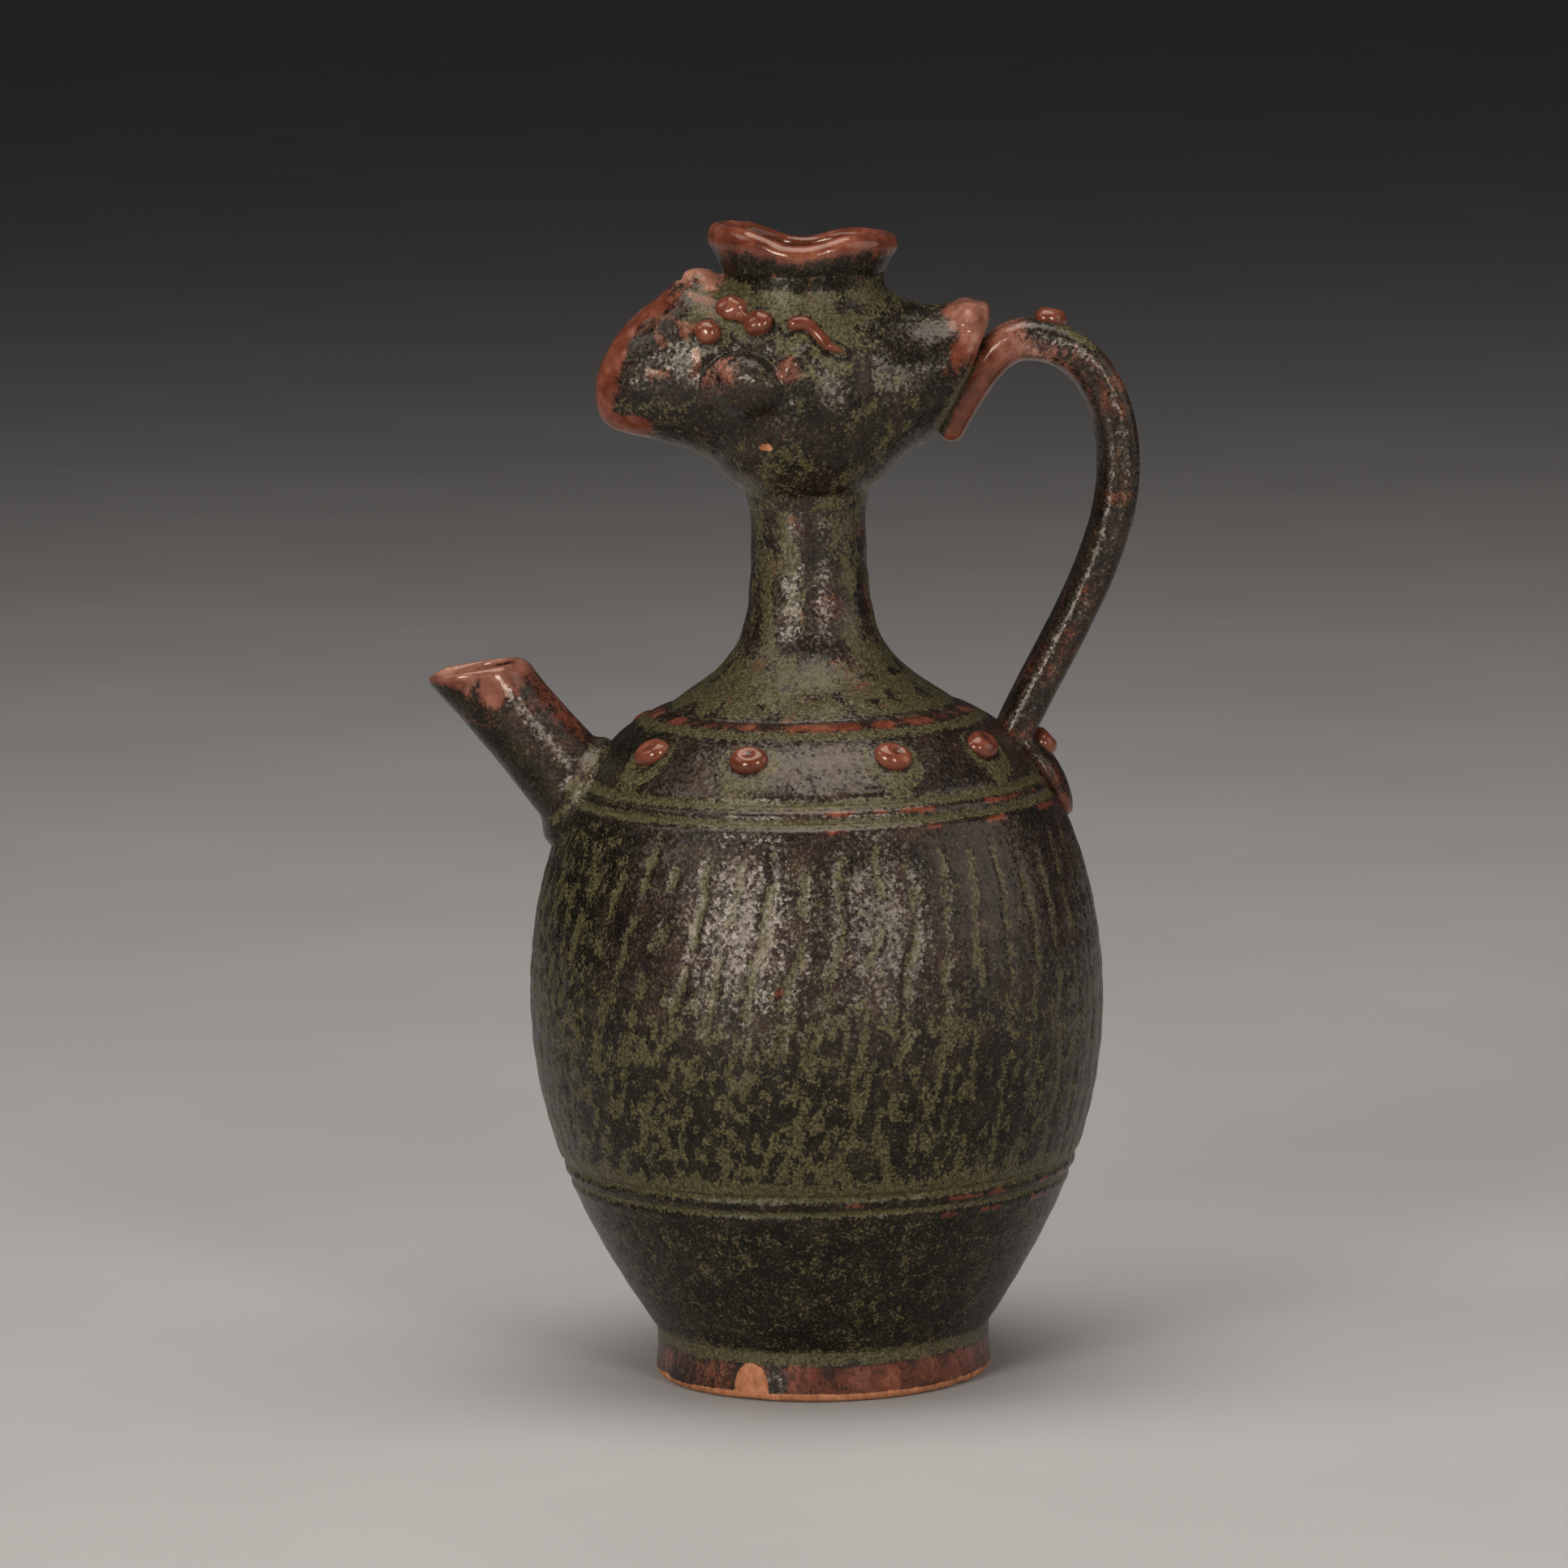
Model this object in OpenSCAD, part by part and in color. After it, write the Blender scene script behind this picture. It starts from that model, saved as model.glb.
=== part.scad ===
// Glazed stoneware ewer with a bird-head mouth, a short tube spout and a strap handle.
// Frame: Z up, origin at the centre of the foot's underside, spout towards -X, handle towards +X.
// The thrown and modelled pieces are luted together, so neighbours meet face to face.

/* [Foot] */
// Outer radius of the foot at the ground
foot_r = 41.4; // [38:0.1:46]
// Outer radius of the foot where the body sits on it
foot_top_r = 40.2; // [37:0.1:44]
// Height of the foot ring
foot_h = 10.6; // [7:0.1:15]
// Radial width of the foot ring at the ground
foot_w = 8.5; // [6:0.1:12]
// Bevel on the foot's outer bottom edge
foot_bevel = 2; // [1:0.1:3]

/* [Body] */
// Greatest outer radius of the body
body_r = 70.3; // [64:0.1:78]
// Height of the widest place above the foot ring
belly_h = 83.4; // [72:0.1:95]
// Height of the shoulder's top seat above the foot ring
body_h = 154.4; // [146:0.1:170]
// Outer radius of the shoulder's top seat
shoulder_r = 35.5; // [32:0.1:40]
// Thickness of the body wall
body_wall = 5.5; // [4:0.1:7]
// Thickness of the body's floor
floor_t = 7; // [5:0.1:10]
// Height of the tongue in the seam between the two halves of the body
seam_h = 3; // [2:0.1:5]
// Outward pull of the body's curve just above the foot
base_flare_r = 15.9; // [12:0.1:20]
// Upward pull of the body's curve just above the foot
base_flare_z = 23.5; // [18:0.1:30]
// Pull of the body's curve below the widest place
belly_low = 33.7; // [26:0.1:42]
// Pull of the body's curve above the widest place
belly_high = 27.8; // [20:0.1:36]
// Outward pull of the shoulder's curve
shoulder_out = 23.9; // [18:0.1:28]
// Drop of the shoulder's curve below its top seat
shoulder_drop = 7; // [4:0.1:11]
// Radius of the round tool that turned the ring grooves
groove_r = 1.1; // [0.6:0.1:1.6]
// Depth of the ring grooves
groove_d = 0.8; // [0.4:0.1:1.2]
// Drop of the first shoulder groove below the shoulder's top seat
groove_drop = 17; // [13:0.1:21]
// Height of the first lower groove above the foot ring
groove_rise = 43.6; // [38:0.1:50]
// Distance between the two grooves of a pair
groove_step = 4.1; // [2.8:0.1:5]

/* [Neck] */
// Length of the neck from the shoulder's seat to the head
neck_h = 52.5; // [46:0.1:62]
// Outer radius of the neck at its waist
waist_r = 14; // [12.5:0.1:17]
// Distance of the waist below the head
waist_drop = 12.5; // [9:0.1:17]
// Outer radius of the neck where the head sits on it
neck_top_r = 14.6; // [13.5:0.1:17]
// Thickness of the neck wall
neck_wall = 4.5; // [3.5:0.1:5.5]
// Width of the neck's seat on the shoulder
neck_seat_w = 8.5; // [6:0.1:11]
// Inward sweep of the neck's foot
neck_sweep_r = 14.7; // [11:0.1:17]
// Rise of the neck's foot
neck_sweep_z = 10; // [7:0.1:13]
// Pull of the neck's curve below the waist
neck_pull = 28.5; // [22:0.1:32]

/* [Head] */
// Height of the head from the neck to the mouth's seat
head_h = 50.5; // [46:0.1:58]
// Greatest outer radius of the head
head_r = 26; // [24:0.1:29]
// Height of the head's widest place above the neck
head_mid_h = 25.5; // [22:0.1:29]
// Outer radius of the collar that carries the mouth
collar_r = 19.2; // [17.5:0.1:21]
// Thickness of the head wall
head_wall = 5; // [4:0.1:6]
// Height of the neck's spigot inside the head
spigot_h = 2.5; // [1.5:0.1:3.5]
// Thickness of the neck's spigot
spigot_t = 2.5; // [2:0.1:3]
// Outward pull of the jaw's curve
jaw_out = 8.4; // [6:0.1:10]
// Rise of the jaw's curve
jaw_rise = 5.5; // [3.5:0.1:7.5]
// Pull of the head's curve below its widest place
head_low = 13; // [9:0.1:17]
// Pull of the head's curve above its widest place
head_high = 11; // [8:0.1:14]
// Drop of the crown's curve below the collar
crown_drop = 10; // [7:0.1:13]

/* [Mouth] */
// Mean height of the mouth above the collar
mouth_h = 13.2; // [10:0.1:16]
// Half length of the mouth along the spout and handle
mouth_r = 23.4; // [21.5:0.1:26]
// Half width of the mouth from side to side
mouth_side_r = 21.6; // [19.5:0.1:24]
// Thickness of the rolled lip
lip_t = 5.2; // [4:0.1:7]
// Height of the rolled lip
lip_h = 6; // [4.5:0.1:8]
// Depth of the dip that is pressed into each side of the lip
lip_dip = 3.5; // [0:0.1:4.5]
// Rise of the lip's spout end above its mean height
lip_front_rise = 1.6; // [0:0.1:2.5]

/* [Beak] */
// Reach of the beak from the axis
beak_reach = 50.8; // [44:0.1:58]
// Height of the beak's tip above the neck
beak_tip_h = 24.6; // [21:0.1:29]
// Height of the beak's ridge where it leaves the head, above the neck
beak_ridge_h = 44.5; // [40:0.1:48]
// Rise of the ridge towards the forehead
brow_rise = 17.6; // [13:0.1:21]
// Roundness of the beak above its tip
beak_round_up = 15.2; // [11:0.1:19]
// Roundness of the beak below its tip
beak_round_down = 15.8; // [12:0.1:20]
// Run of the ridge from the beak's root to the forehead
brow_run = 9.2; // [7:0.1:13]
// Run of the jaw's line under the beak
jaw_run = 21; // [16:0.1:25]
// Lift of the jaw's line under the beak
jaw_lift = 20; // [16:0.1:24]
// Half width of the beak at its root
beak_root_w = 19; // [16:0.1:22]
// Taper of the beak's half width just past its root
beak_taper = 2; // [0:0.1:4]
// Half width of the beak towards its tip
beak_tip_w = 9; // [6:0.1:12]
// Depth of the beak's and the crest's roots inside the neck's top edge
root_inset = 1.5; // [0.5:0.1:3]
// Height of the beak's and the crest's roots above the neck
root_lift = 0.5; // [0.2:0.1:1.5]
// Radius of the knob of the comb on the forehead
comb_r = 5.6; // [4.5:0.1:7]
// Depth of the comb's middle below the beak's ridge
comb_sink = 2.8; // [1.5:0.1:4]
// Distance of the comb from the axis
comb_x = 24; // [22:0.1:28]
// Radius of the eye pellet
eye_r = 2.9; // [2.2:0.1:3.6]
// Place of the eye along the beak, from its root to its tip
eye_at = 0.24; // [0.19:0.01:0.35]
// Turn of the eye's place up the side of the beak
eye_turn = 26; // [15:1:35]

/* [Crest] */
// Reach of the crest's lower edge from the axis
crest_low_x = 31.3; // [28:0.1:36]
// Height of the crest's lower edge above the neck
crest_low_h = 12; // [9:0.1:14]
// Reach of the crest's upper edge from the axis
crest_top_x = 46; // [41:0.1:50]
// Height of the crest's upper edge above the neck
crest_top_h = 44; // [40:0.1:48]
// Dip of the crest's back between the head and its upper edge
crest_dip = 5; // [2:0.1:8]
// Rise of the crest's root above its upper edge
crest_root_rise = 3; // [1:0.1:5]
// Run from the crest's root to its dip
crest_dip_run = 17; // [13:0.1:20]
// Run of the lip at the crest's upper edge
crest_lip_run = 8; // [5:0.1:11]
// Rise of the lip at the crest's upper edge
crest_lip_rise = 3; // [1:0.1:5]
// Run of the jaw's line under the crest
crest_jaw_run = 7; // [5:0.1:10]
// Rise of the jaw's line under the crest
crest_jaw_rise = 5; // [3:0.1:7]
// Run of the under side at the crest's lower edge
crest_end_run = 6; // [4:0.1:8]
// Drop of the under side at the crest's lower edge
crest_end_drop = 2; // [1:0.1:4]
// Half width of the crest at its root
crest_root_w = 21; // [18:0.1:23]
// Taper of the crest's half width just before its back
crest_taper = 3; // [1:0.1:5]
// Half width of the crest at its back
crest_back_w = 14; // [11:0.1:18]
// Rounding of the crest's back edge
crest_round = 4; // [1:0.1:5]

/* [Face] */
// Radius of the cheek's dome
cheek_r = 12.4; // [10:0.1:15]
// Standing height of the cheek above the head
cheek_up = 3; // [2:0.1:4.5]
// Turn of the cheek from the head's side towards the beak
cheek_turn = 38; // [32:1:45]
// Height of the cheek above the neck
cheek_h = 26.2; // [22:0.1:29]
// Radius of the ear ridge's round back
ear_r = 2.6; // [2:0.1:3.4]
// Standing height of the ear ridge above the head
ear_up = 1.8; // [1.2:0.1:2.4]
// Fall of the ear ridge from its middle to its lower end
ear_fall = 2; // [1:0.1:3]
// Half length of the ear ridge as a turn round the head
ear_sweep = 3.6; // [2:0.1:6]
// Turn of the ear ridge from the head's side towards the beak
ear_turn = 10; // [5:1:15]
// Height of the ear ridge above the neck
ear_h = 30; // [26:0.1:34]
// Radius of the bead between the brow's lobes
brow_r = 3; // [2:0.1:3.8]
// Radius of the lobes at the brow's ends
brow_lobe_r = 3.9; // [3.2:0.1:5]
// Depth of the near lobe's middle below the head's skin
brow_lobe_sink = 0.9; // [0.3:0.1:1.8]
// Rise of the brow's far lobe above its middle, and drop of its near lobe below it
brow_tilt = 1; // [0:0.1:2]
// Height of the brow above the neck
brow_h = 42.7; // [39:0.1:45]
// Turn of the brow's near end from the head's side
brow_start = 33; // [27:1:38]
// Length of the brow as a turn round the head
brow_sweep = 26; // [20:1:34]
// Radius of the feather coil
feather_r = 1.7; // [1.2:0.1:2.3]
// Height of the feather coil's upper end above the neck
feather_top_h = 40.7; // [38:0.1:43]
// Height of the feather coil's lower end above the neck
feather_low_h = 34.8; // [30:0.1:37]
// Turn of the feather coil's upper end towards the beak
feather_start = 13; // [8:1:18]
// Length of the feather coil as a turn round the head
feather_sweep = 31; // [25:1:38]
// Rise of the bend in the feather coil's upper part
feather_bend = 3; // [0:0.1:5]

/* [Spout] */
// Outer radius of the spout
spout_r = 10.7; // [9:0.1:12.5]
// Outer radius of the spout at its tip
spout_tip_r = 11.1; // [9.5:0.1:13]
// Widening of the spout's root
spout_root = 1.4; // [0.5:0.1:3]
// Length of the spout from the shoulder to the middle of its tip
spout_len = 39; // [30:0.1:46]
// Rise of the spout above the horizontal
spout_angle = 51; // [42:0.5:58]
// Drop of the spout's place below the shoulder's top seat
spout_drop = 19; // [15:0.1:24]
// Slope of the cut across the tip
spout_cut = 8; // [4:0.1:16]
// Radius of the spout's bore
spout_bore_r = 6.9; // [5.5:0.1:8]

/* [Handle] */
// Reach of the handle's outer face from the axis
handle_reach = 81.4; // [76:0.1:90]
// Height of the handle's farthest place above the neck
handle_far_h = 5; // [0:0.1:10]
// Height of the handle's outer face above the neck
handle_top_h = 41; // [36:0.1:46]
// Distance of the handle's top from the axis
handle_top_x = 53.5; // [50:0.1:58]
// Thickness of the strap
handle_t = 11; // [8:0.1:12]
// Width of the strap
handle_w = 17; // [13:0.1:21]
// Depth of the groove down the strap's outer face
handle_groove = 1.4; // [0.5:0.1:2.2]
// Thickness of the tongue at its tip
tongue_t = 6.4; // [5:0.1:8]
// Width of the tongue at its tip
tongue_w = 10; // [7:0.1:13]
// Rounding of the tongue's tip
tongue_round = 2.4; // [1:0.1:3]
// Depth that the tongue is pressed into the crest
tongue_press = 1; // [0.5:0.1:1.6]
// Drop of the strap's foot below the shoulder's top seat
handle_drop = 9; // [7:0.1:11]
// Lean of the strap's lower run above the horizontal
handle_lean = 64; // [60:0.5:70]
// Pull of the strap's curve above its foot
strap_foot_pull = 28; // [22:0.5:32]
// Pull of the strap's curve below its farthest place
strap_rise_pull = 22; // [17:0.5:27]
// Pull of the strap's curve above its farthest place
strap_far_pull = 17; // [13:0.5:20]
// Pull of the arch's curve at its top
strap_top_pull = 14.5; // [11:0.5:18]
// Pull of the tongue's curve at the arch's top
tongue_top_pull = 9; // [7:0.5:12]
// Pull of the tongue's curve at its tip
tongue_tip_pull = 9; // [7:0.5:12]
// Drop of the leaf's tip below the shoulder's top seat
leaf_drop = 29; // [25:0.1:34]
// Width of the leaf on the shoulder
leaf_w = 19; // [16:0.1:24]
// Standing height of the leaf
leaf_t = 4; // [3:0.1:5.5]

/* [Buttons] */
// Radius of the round buttons
button_r = 4.4; // [3.4:0.1:5.4]
// Standing height of the buttons
button_up = 2.9; // [2:0.1:3.6]
// Drop of the ring of buttons below the shoulder's top seat
button_drop = 7.4; // [6:0.1:10]
// Turn of the first button from the front
button_first = 21; // [17:0.5:25]
// Turn between neighbouring buttons
button_step = 34.5; // [30:0.5:38]
// Drop of the lower handle button below the shoulder's top seat
leaf_button_drop = 13; // [10:0.1:16]
// Place of the upper handle button along the strap's arch
arch_button_at = 0.88; // [0.7:0.01:0.95]

/* [Hidden] */

$fn = 128;
curve_steps = 14;
ring_sides = 20;
loft_steps = 14;
round_steps = 4;
mouth_steps = 44;
strap_steps = 12;
big = 400;
eps = 0.5;

dark_glaze = "#2e2a20";
olive_glaze = "#5d5a2c";
red_glaze = "#8a4330";
bare_clay = "#b5764f";

belly_z = foot_h + belly_h;
shoulder_z = foot_h + body_h;
head_z = shoulder_z + neck_h;
waist_z = head_z - waist_drop;
head_mid_z = head_z + head_mid_h;
collar_z = head_z + head_h;
well_r = shoulder_r - neck_seat_w;
spigot_r = neck_top_r - neck_wall + spigot_t;

// Curves are cubic Beziers, and outlines run upwards along the outside of a wall.
function bez(p, t) = pow(1 - t, 3) * p[0] + 3 * t * pow(1 - t, 2) * p[1]
  + 3 * t * t * (1 - t) * p[2] + pow(t, 3) * p[3];
function bez_way(p, t) = pow(1 - t, 2) * (p[1] - p[0]) + 2 * t * (1 - t) * (p[2] - p[1])
  + t * t * (p[3] - p[2]);
function unit(v) = v / norm(v);
function inward(v) = [-v[1], v[0]];
function outline(p, n = curve_steps) = [for (i = [0:n]) bez(p, i / n)];
function inset(p, d, n = curve_steps) =
  [for (i = [0:n]) bez(p, i / n) + d * inward(unit(bez_way(p, i / n)))];
function reversed(list) = [for (i = [len(list) - 1:-1:0]) list[i]];
function t_at(p, z, lo = 0, hi = 1, n = 24) = let (mid = (lo + hi) / 2)
  n == 0 ? mid : bez(p, mid)[1] < z ? t_at(p, z, mid, hi, n - 1) : t_at(p, z, lo, mid, n - 1);

low_curve = [
  [foot_top_r, foot_h],
  [foot_top_r + base_flare_r, foot_h + base_flare_z],
  [body_r, belly_z - belly_low],
  [body_r, belly_z]
];
high_curve = [
  [body_r, belly_z],
  [body_r, belly_z + belly_high],
  [shoulder_r + shoulder_out, shoulder_z - shoulder_drop],
  [shoulder_r, shoulder_z]
];
neck_curve = [
  [shoulder_r, shoulder_z],
  [shoulder_r - neck_sweep_r, shoulder_z + neck_sweep_z],
  [waist_r, waist_z - neck_pull],
  [waist_r, waist_z]
];
jaw_curve = [
  [neck_top_r, head_z],
  [neck_top_r + jaw_out, head_z + jaw_rise],
  [head_r, head_mid_z - head_low],
  [head_r, head_mid_z]
];
crown_curve = [
  [head_r, head_mid_z],
  [head_r, head_mid_z + head_high],
  [collar_r, collar_z - crown_drop],
  [collar_r, collar_z]
];

// A place on a revolved curve at height z, with its outward direction in the same plane.
function seat(p, z) = bez(p, t_at(p, z));
function seat_out(p, z) = -inward(unit(bez_way(p, t_at(p, z))));

// A closed skin through rings that have the same number of points.
module loft(rings) {
  n = len(rings[0]);
  last = len(rings) - 1;
  sides = [for (k = [0:last - 1], i = [0:n - 1]) each [
    [k * n + i, (k + 1) * n + i, k * n + (i + 1) % n],
    [k * n + (i + 1) % n, (k + 1) * n + i, (k + 1) * n + (i + 1) % n]
  ]];
  start_cap = [for (i = [0:n - 1]) i];
  end_cap = [for (i = [n - 1:-1:0]) last * n + i];
  polyhedron(points = [for (r = rings) each r], faces = concat([start_cap], sides, [end_cap]), convexity = 6);
}

module body_outside() {
  rotate_extrude()
    polygon(concat([[0, foot_h]], outline(low_curve), outline(high_curve), [[0, shoulder_z]]));
}

module head_outside() {
  rotate_extrude()
    polygon(concat([[0, head_z]], outline(jaw_curve), outline(crown_curve), [[0, collar_z]]));
}

// Room kept free for the flared mouth above the collar.
module mouth_room() {
  reach = max(mouth_r, mouth_side_r) + eps;
  translate([0, 0, collar_z])
    cylinder(h = mouth_h - lip_h / 2, r1 = collar_r, r2 = reach);
}

module ring_groove(p, z) {
  place = seat(p, z) + (groove_r - groove_d) * seat_out(p, z);
  rotate_extrude()
    translate(place)
      circle(r = groove_r);
}

module foot_ring() {
  color(bare_clay)
    rotate_extrude()
      polygon([
        [foot_r - foot_w, 0],
        [foot_r - foot_bevel, 0],
        [foot_r, foot_bevel],
        [foot_top_r, foot_h],
        [foot_top_r - foot_w, foot_h]
      ]);
}

// The tongue of the seam stands on the inner half of the lower rim.
seam_r = body_r - body_wall / 2;
inner_low = inset(low_curve, body_wall);
inner_high = inset(high_curve, body_wall);
floor_z = foot_h + floor_t;

module lower_body() {
  walls = [for (q = inner_low) if (q[1] > floor_z + eps && q[1] < belly_z - eps) q];
  color(dark_glaze)
    difference() {
      rotate_extrude()
        polygon(concat(
          [[0, foot_h]],
          outline(low_curve),
          [[seam_r, belly_z], [seam_r, belly_z + seam_h], [body_r - body_wall, belly_z + seam_h]],
          [[body_r - body_wall, belly_z]],
          reversed(walls),
          [[seat_floor_r(), floor_z], [0, floor_z]]
        ));
      ring_groove(low_curve, foot_h + groove_rise);
      ring_groove(low_curve, foot_h + groove_rise - groove_step);
    }
}

// Radius of the inner floor, where the inner wall's curve reaches it.
function seat_floor_r() = min([for (q = inner_low) if (q[1] > floor_z + eps) q[0]]) - eps;

module upper_body() {
  walls = [for (q = inner_high)
    if (q[1] > belly_z + seam_h + eps && q[1] < shoulder_z - body_wall - eps && q[0] > well_r + eps) q];
  roof_z = shoulder_z - body_wall;
  color(dark_glaze)
    difference() {
      rotate_extrude()
        polygon(concat(
          [[seam_r, belly_z]],
          outline(high_curve),
          [[well_r, shoulder_z], [well_r, roof_z]],
          reversed(walls),
          [[body_r - body_wall, belly_z + seam_h], [seam_r, belly_z + seam_h]]
        ));
      ring_groove(high_curve, shoulder_z - groove_drop);
      ring_groove(high_curve, shoulder_z - groove_drop - groove_step);
      spout_bore();
    }
}

module neck() {
  bore_r = neck_top_r - neck_wall;
  walls = [for (q = inset(neck_curve, neck_wall)) if (q[1] > shoulder_z + eps && q[0] < well_r - eps) q];
  color(olive_glaze)
    rotate_extrude()
      polygon(concat(
        outline(neck_curve),
        [[neck_top_r, head_z], [spigot_r, head_z]],
        [[spigot_r, head_z + spigot_h], [bore_r, head_z + spigot_h], [bore_r, head_z]],
        reversed(walls),
        [[well_r, shoulder_z]]
      ));
}

module head_bulb() {
  lower = [for (q = inset(jaw_curve, head_wall))
    if (q[1] > head_z + spigot_h + eps && q[0] > spigot_r + eps) q];
  upper = [for (q = inset(crown_curve, head_wall)) if (q[1] > head_mid_z + eps && q[1] < collar_z - eps) q];
  color(dark_glaze)
    rotate_extrude()
      polygon(concat(
        [[spigot_r, head_z]],
        outline(jaw_curve),
        outline(crown_curve),
        [[collar_r - head_wall, collar_z]],
        reversed(upper),
        reversed(lower),
        [[spigot_r, head_z + spigot_h]]
      ));
}

// The mouth is a flared cup with a thick rounded lip that slopes up to the beak and dips at both sides.
dip_power = 10;
function lip_rise(a) = -lip_front_rise * cos(a) - lip_dip * pow(abs(sin(a)), dip_power);
lip_under = -70;
lip_turn = 30;
lip_inside = 200;
lip_middle = [mouth_r - lip_t / 2, mouth_h - lip_h / 2];
function lip_section() = concat(
  [[collar_r - head_wall, 0], [collar_r, 0]],
  [for (a = [lip_under:lip_turn:lip_inside]) lip_middle + [lip_t / 2 * cos(a), lip_h / 2 * sin(a)]]
);
function mouth_ring(a) = [for (q = lip_section())
  let (up = q[1] / mouth_h, side = 1 - up + up * mouth_side_r / mouth_r)
  [q[0] * cos(a), q[0] * sin(a) * side, collar_z + q[1] + up * lip_rise(a)]];

module mouth_rim() {
  rings = [for (k = [0:mouth_steps - 1]) mouth_ring(360 * k / mouth_steps)];
  n = len(rings[0]);
  sides = [for (k = [0:mouth_steps - 1], i = [0:n - 1]) let (next = (k + 1) % mouth_steps) each [
    [k * n + i, k * n + (i + 1) % n, next * n + i],
    [k * n + (i + 1) % n, next * n + (i + 1) % n, next * n + i]
  ]];
  color(red_glaze)
    polyhedron(points = [for (r = rings) each r], faces = sides, convexity = 6);
}

// Side outlines of the beak and the crest, each from inside the head to its outer end.
root_x = neck_top_r - root_inset;
beak_top = [
  [-root_x, head_z + beak_ridge_h],
  [-root_x - brow_run, head_z + beak_ridge_h + brow_rise],
  [-beak_reach, head_z + beak_tip_h + beak_round_up],
  [-beak_reach, head_z + beak_tip_h]
];
beak_bottom = [
  [-root_x, head_z + root_lift],
  [-root_x - jaw_run, head_z + jaw_lift],
  [-beak_reach, head_z + beak_tip_h - beak_round_down],
  [-beak_reach, head_z + beak_tip_h]
];
beak_widths = [beak_root_w, beak_root_w - beak_taper, beak_tip_w, 0];
beak_end = 0.98;

// A ring between an upper and a lower outline: side to side along Y, leaning with the outlines.
function rib_point(top, bottom, half_w, a) =
  let (up = (1 + sin(a)) / 2, at = bottom + up * (top - bottom))
  [at[0], half_w * cos(a), at[1]];
function rib(top, bottom, half_w) =
  [for (i = [0:ring_sides - 1]) rib_point(top, bottom, half_w, 360 * i / ring_sides)];
function beak_rib(t) = rib(bez(beak_top, t), bez(beak_bottom, t), bez(beak_widths, t));
function beak_point(t, a) = rib_point(bez(beak_top, t), bez(beak_bottom, t), bez(beak_widths, t), a);

module beak_form() {
  loft(reversed([for (k = [0:loft_steps]) beak_rib(beak_end * k / loft_steps)]));
}

module beak() {
  color(red_glaze)
    difference() {
      beak_form();
      head_outside();
      mouth_room();
    }
}

crest_top = [
  [root_x, head_z + crest_top_h + crest_root_rise],
  [root_x + crest_dip_run, head_z + crest_top_h - crest_dip],
  [crest_top_x - crest_lip_run, head_z + crest_top_h + crest_lip_rise],
  [crest_top_x, head_z + crest_top_h]
];
crest_bottom = [
  [root_x, head_z + root_lift],
  [root_x + crest_jaw_run, head_z + crest_jaw_rise],
  [crest_low_x - crest_end_run, head_z + crest_low_h - crest_end_drop],
  [crest_low_x, head_z + crest_low_h]
];
crest_widths = [crest_root_w, crest_root_w, crest_back_w + crest_taper, crest_back_w];

// The back edge is rounded: past crest_turn_t the ribs draw in along a quarter circle.
crest_turn_t = 1 - crest_round / (crest_top_x - root_x);
function drawn_in(t, start, r) = t < start ? 0 : r * (1 - sqrt(1 - pow((t - start) / (1 - start), 2)));
function crest_rib(t) =
  let (top = bez(crest_top, t), bottom = bez(crest_bottom, t), d = drawn_in(t, crest_turn_t, crest_round),
    down = d * unit(bottom - top))
  rib(top + down, bottom - down, bez(crest_widths, t) - d);

module crest_form() {
  loft([
    for (k = [0:loft_steps - 1]) crest_rib(crest_turn_t * k / loft_steps),
    for (k = [0:round_steps]) crest_rib(crest_turn_t + (1 - crest_turn_t) * sin(90 * k / round_steps))
  ]);
}

module crest() {
  color(red_glaze)
    difference() {
      crest_form();
      head_outside();
      mouth_room();
    }
}

module comb_form() {
  top = seat_beak_ridge(comb_x);
  translate([-comb_x, 0, top - comb_sink])
    sphere(r = comb_r);
}

// Height of the beak's ridge at a distance from the axis.
function ridge_t(x, lo = 0, hi = 1, n = 20) = let (mid = (lo + hi) / 2)
  n == 0 ? mid : -bez(beak_top, mid)[0] < x ? ridge_t(x, mid, hi, n - 1) : ridge_t(x, lo, mid, n - 1);
function seat_beak_ridge(x) = bez(beak_top, ridge_t(x))[1];

module comb() {
  color(red_glaze)
    difference() {
      comb_form();
      beak_form();
      head_outside();
      mouth_room();
    }
}

// Face pieces are made on the -Y side and mirrored; each rests on the head, the beak or both.
module face_side(side) {
  if (side < 0)
    children();
  else
    mirror([0, 1, 0])
      children();
}

// A place on the head's outer skin at a height above the neck, turned from -Y towards the beak.
function head_curve(h) = h < head_mid_h ? jaw_curve : crown_curve;
function head_seat(h) = seat(head_curve(h), head_z + h);
function head_out(h) = seat_out(head_curve(h), head_z + h);
function around(q, turn) = [-q[0] * sin(turn), -q[0] * cos(turn), q[1]];

module dome(h, turn, r, up) {
  translate(around(head_seat(h) + (up - r) * head_out(h), turn))
    sphere(r = r);
}

module eye(side) {
  color(red_glaze)
    face_side(side)
      difference() {
        translate(beak_point(eye_at, 180 - eye_turn))
          sphere(r = eye_r);
        beak_form();
        head_outside();
      }
}

module cheek_form() {
  dome(cheek_h, cheek_turn, cheek_r, cheek_up);
}

module cheek(side) {
  color(dark_glaze)
    face_side(side)
      difference() {
        cheek_form();
        head_outside();
        beak_form();
      }
}

// The ear is a short ridge that slants down behind the cheek, a close row of balls.
ear_step = 0.5;
module ear(side) {
  color(red_glaze)
    face_side(side)
      difference() {
        for (k = [-1:ear_step:1])
          dome(ear_h - k * ear_fall, ear_turn - k * ear_sweep, ear_r, ear_up);
        cheek_form();
        head_outside();
      }
}

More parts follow.
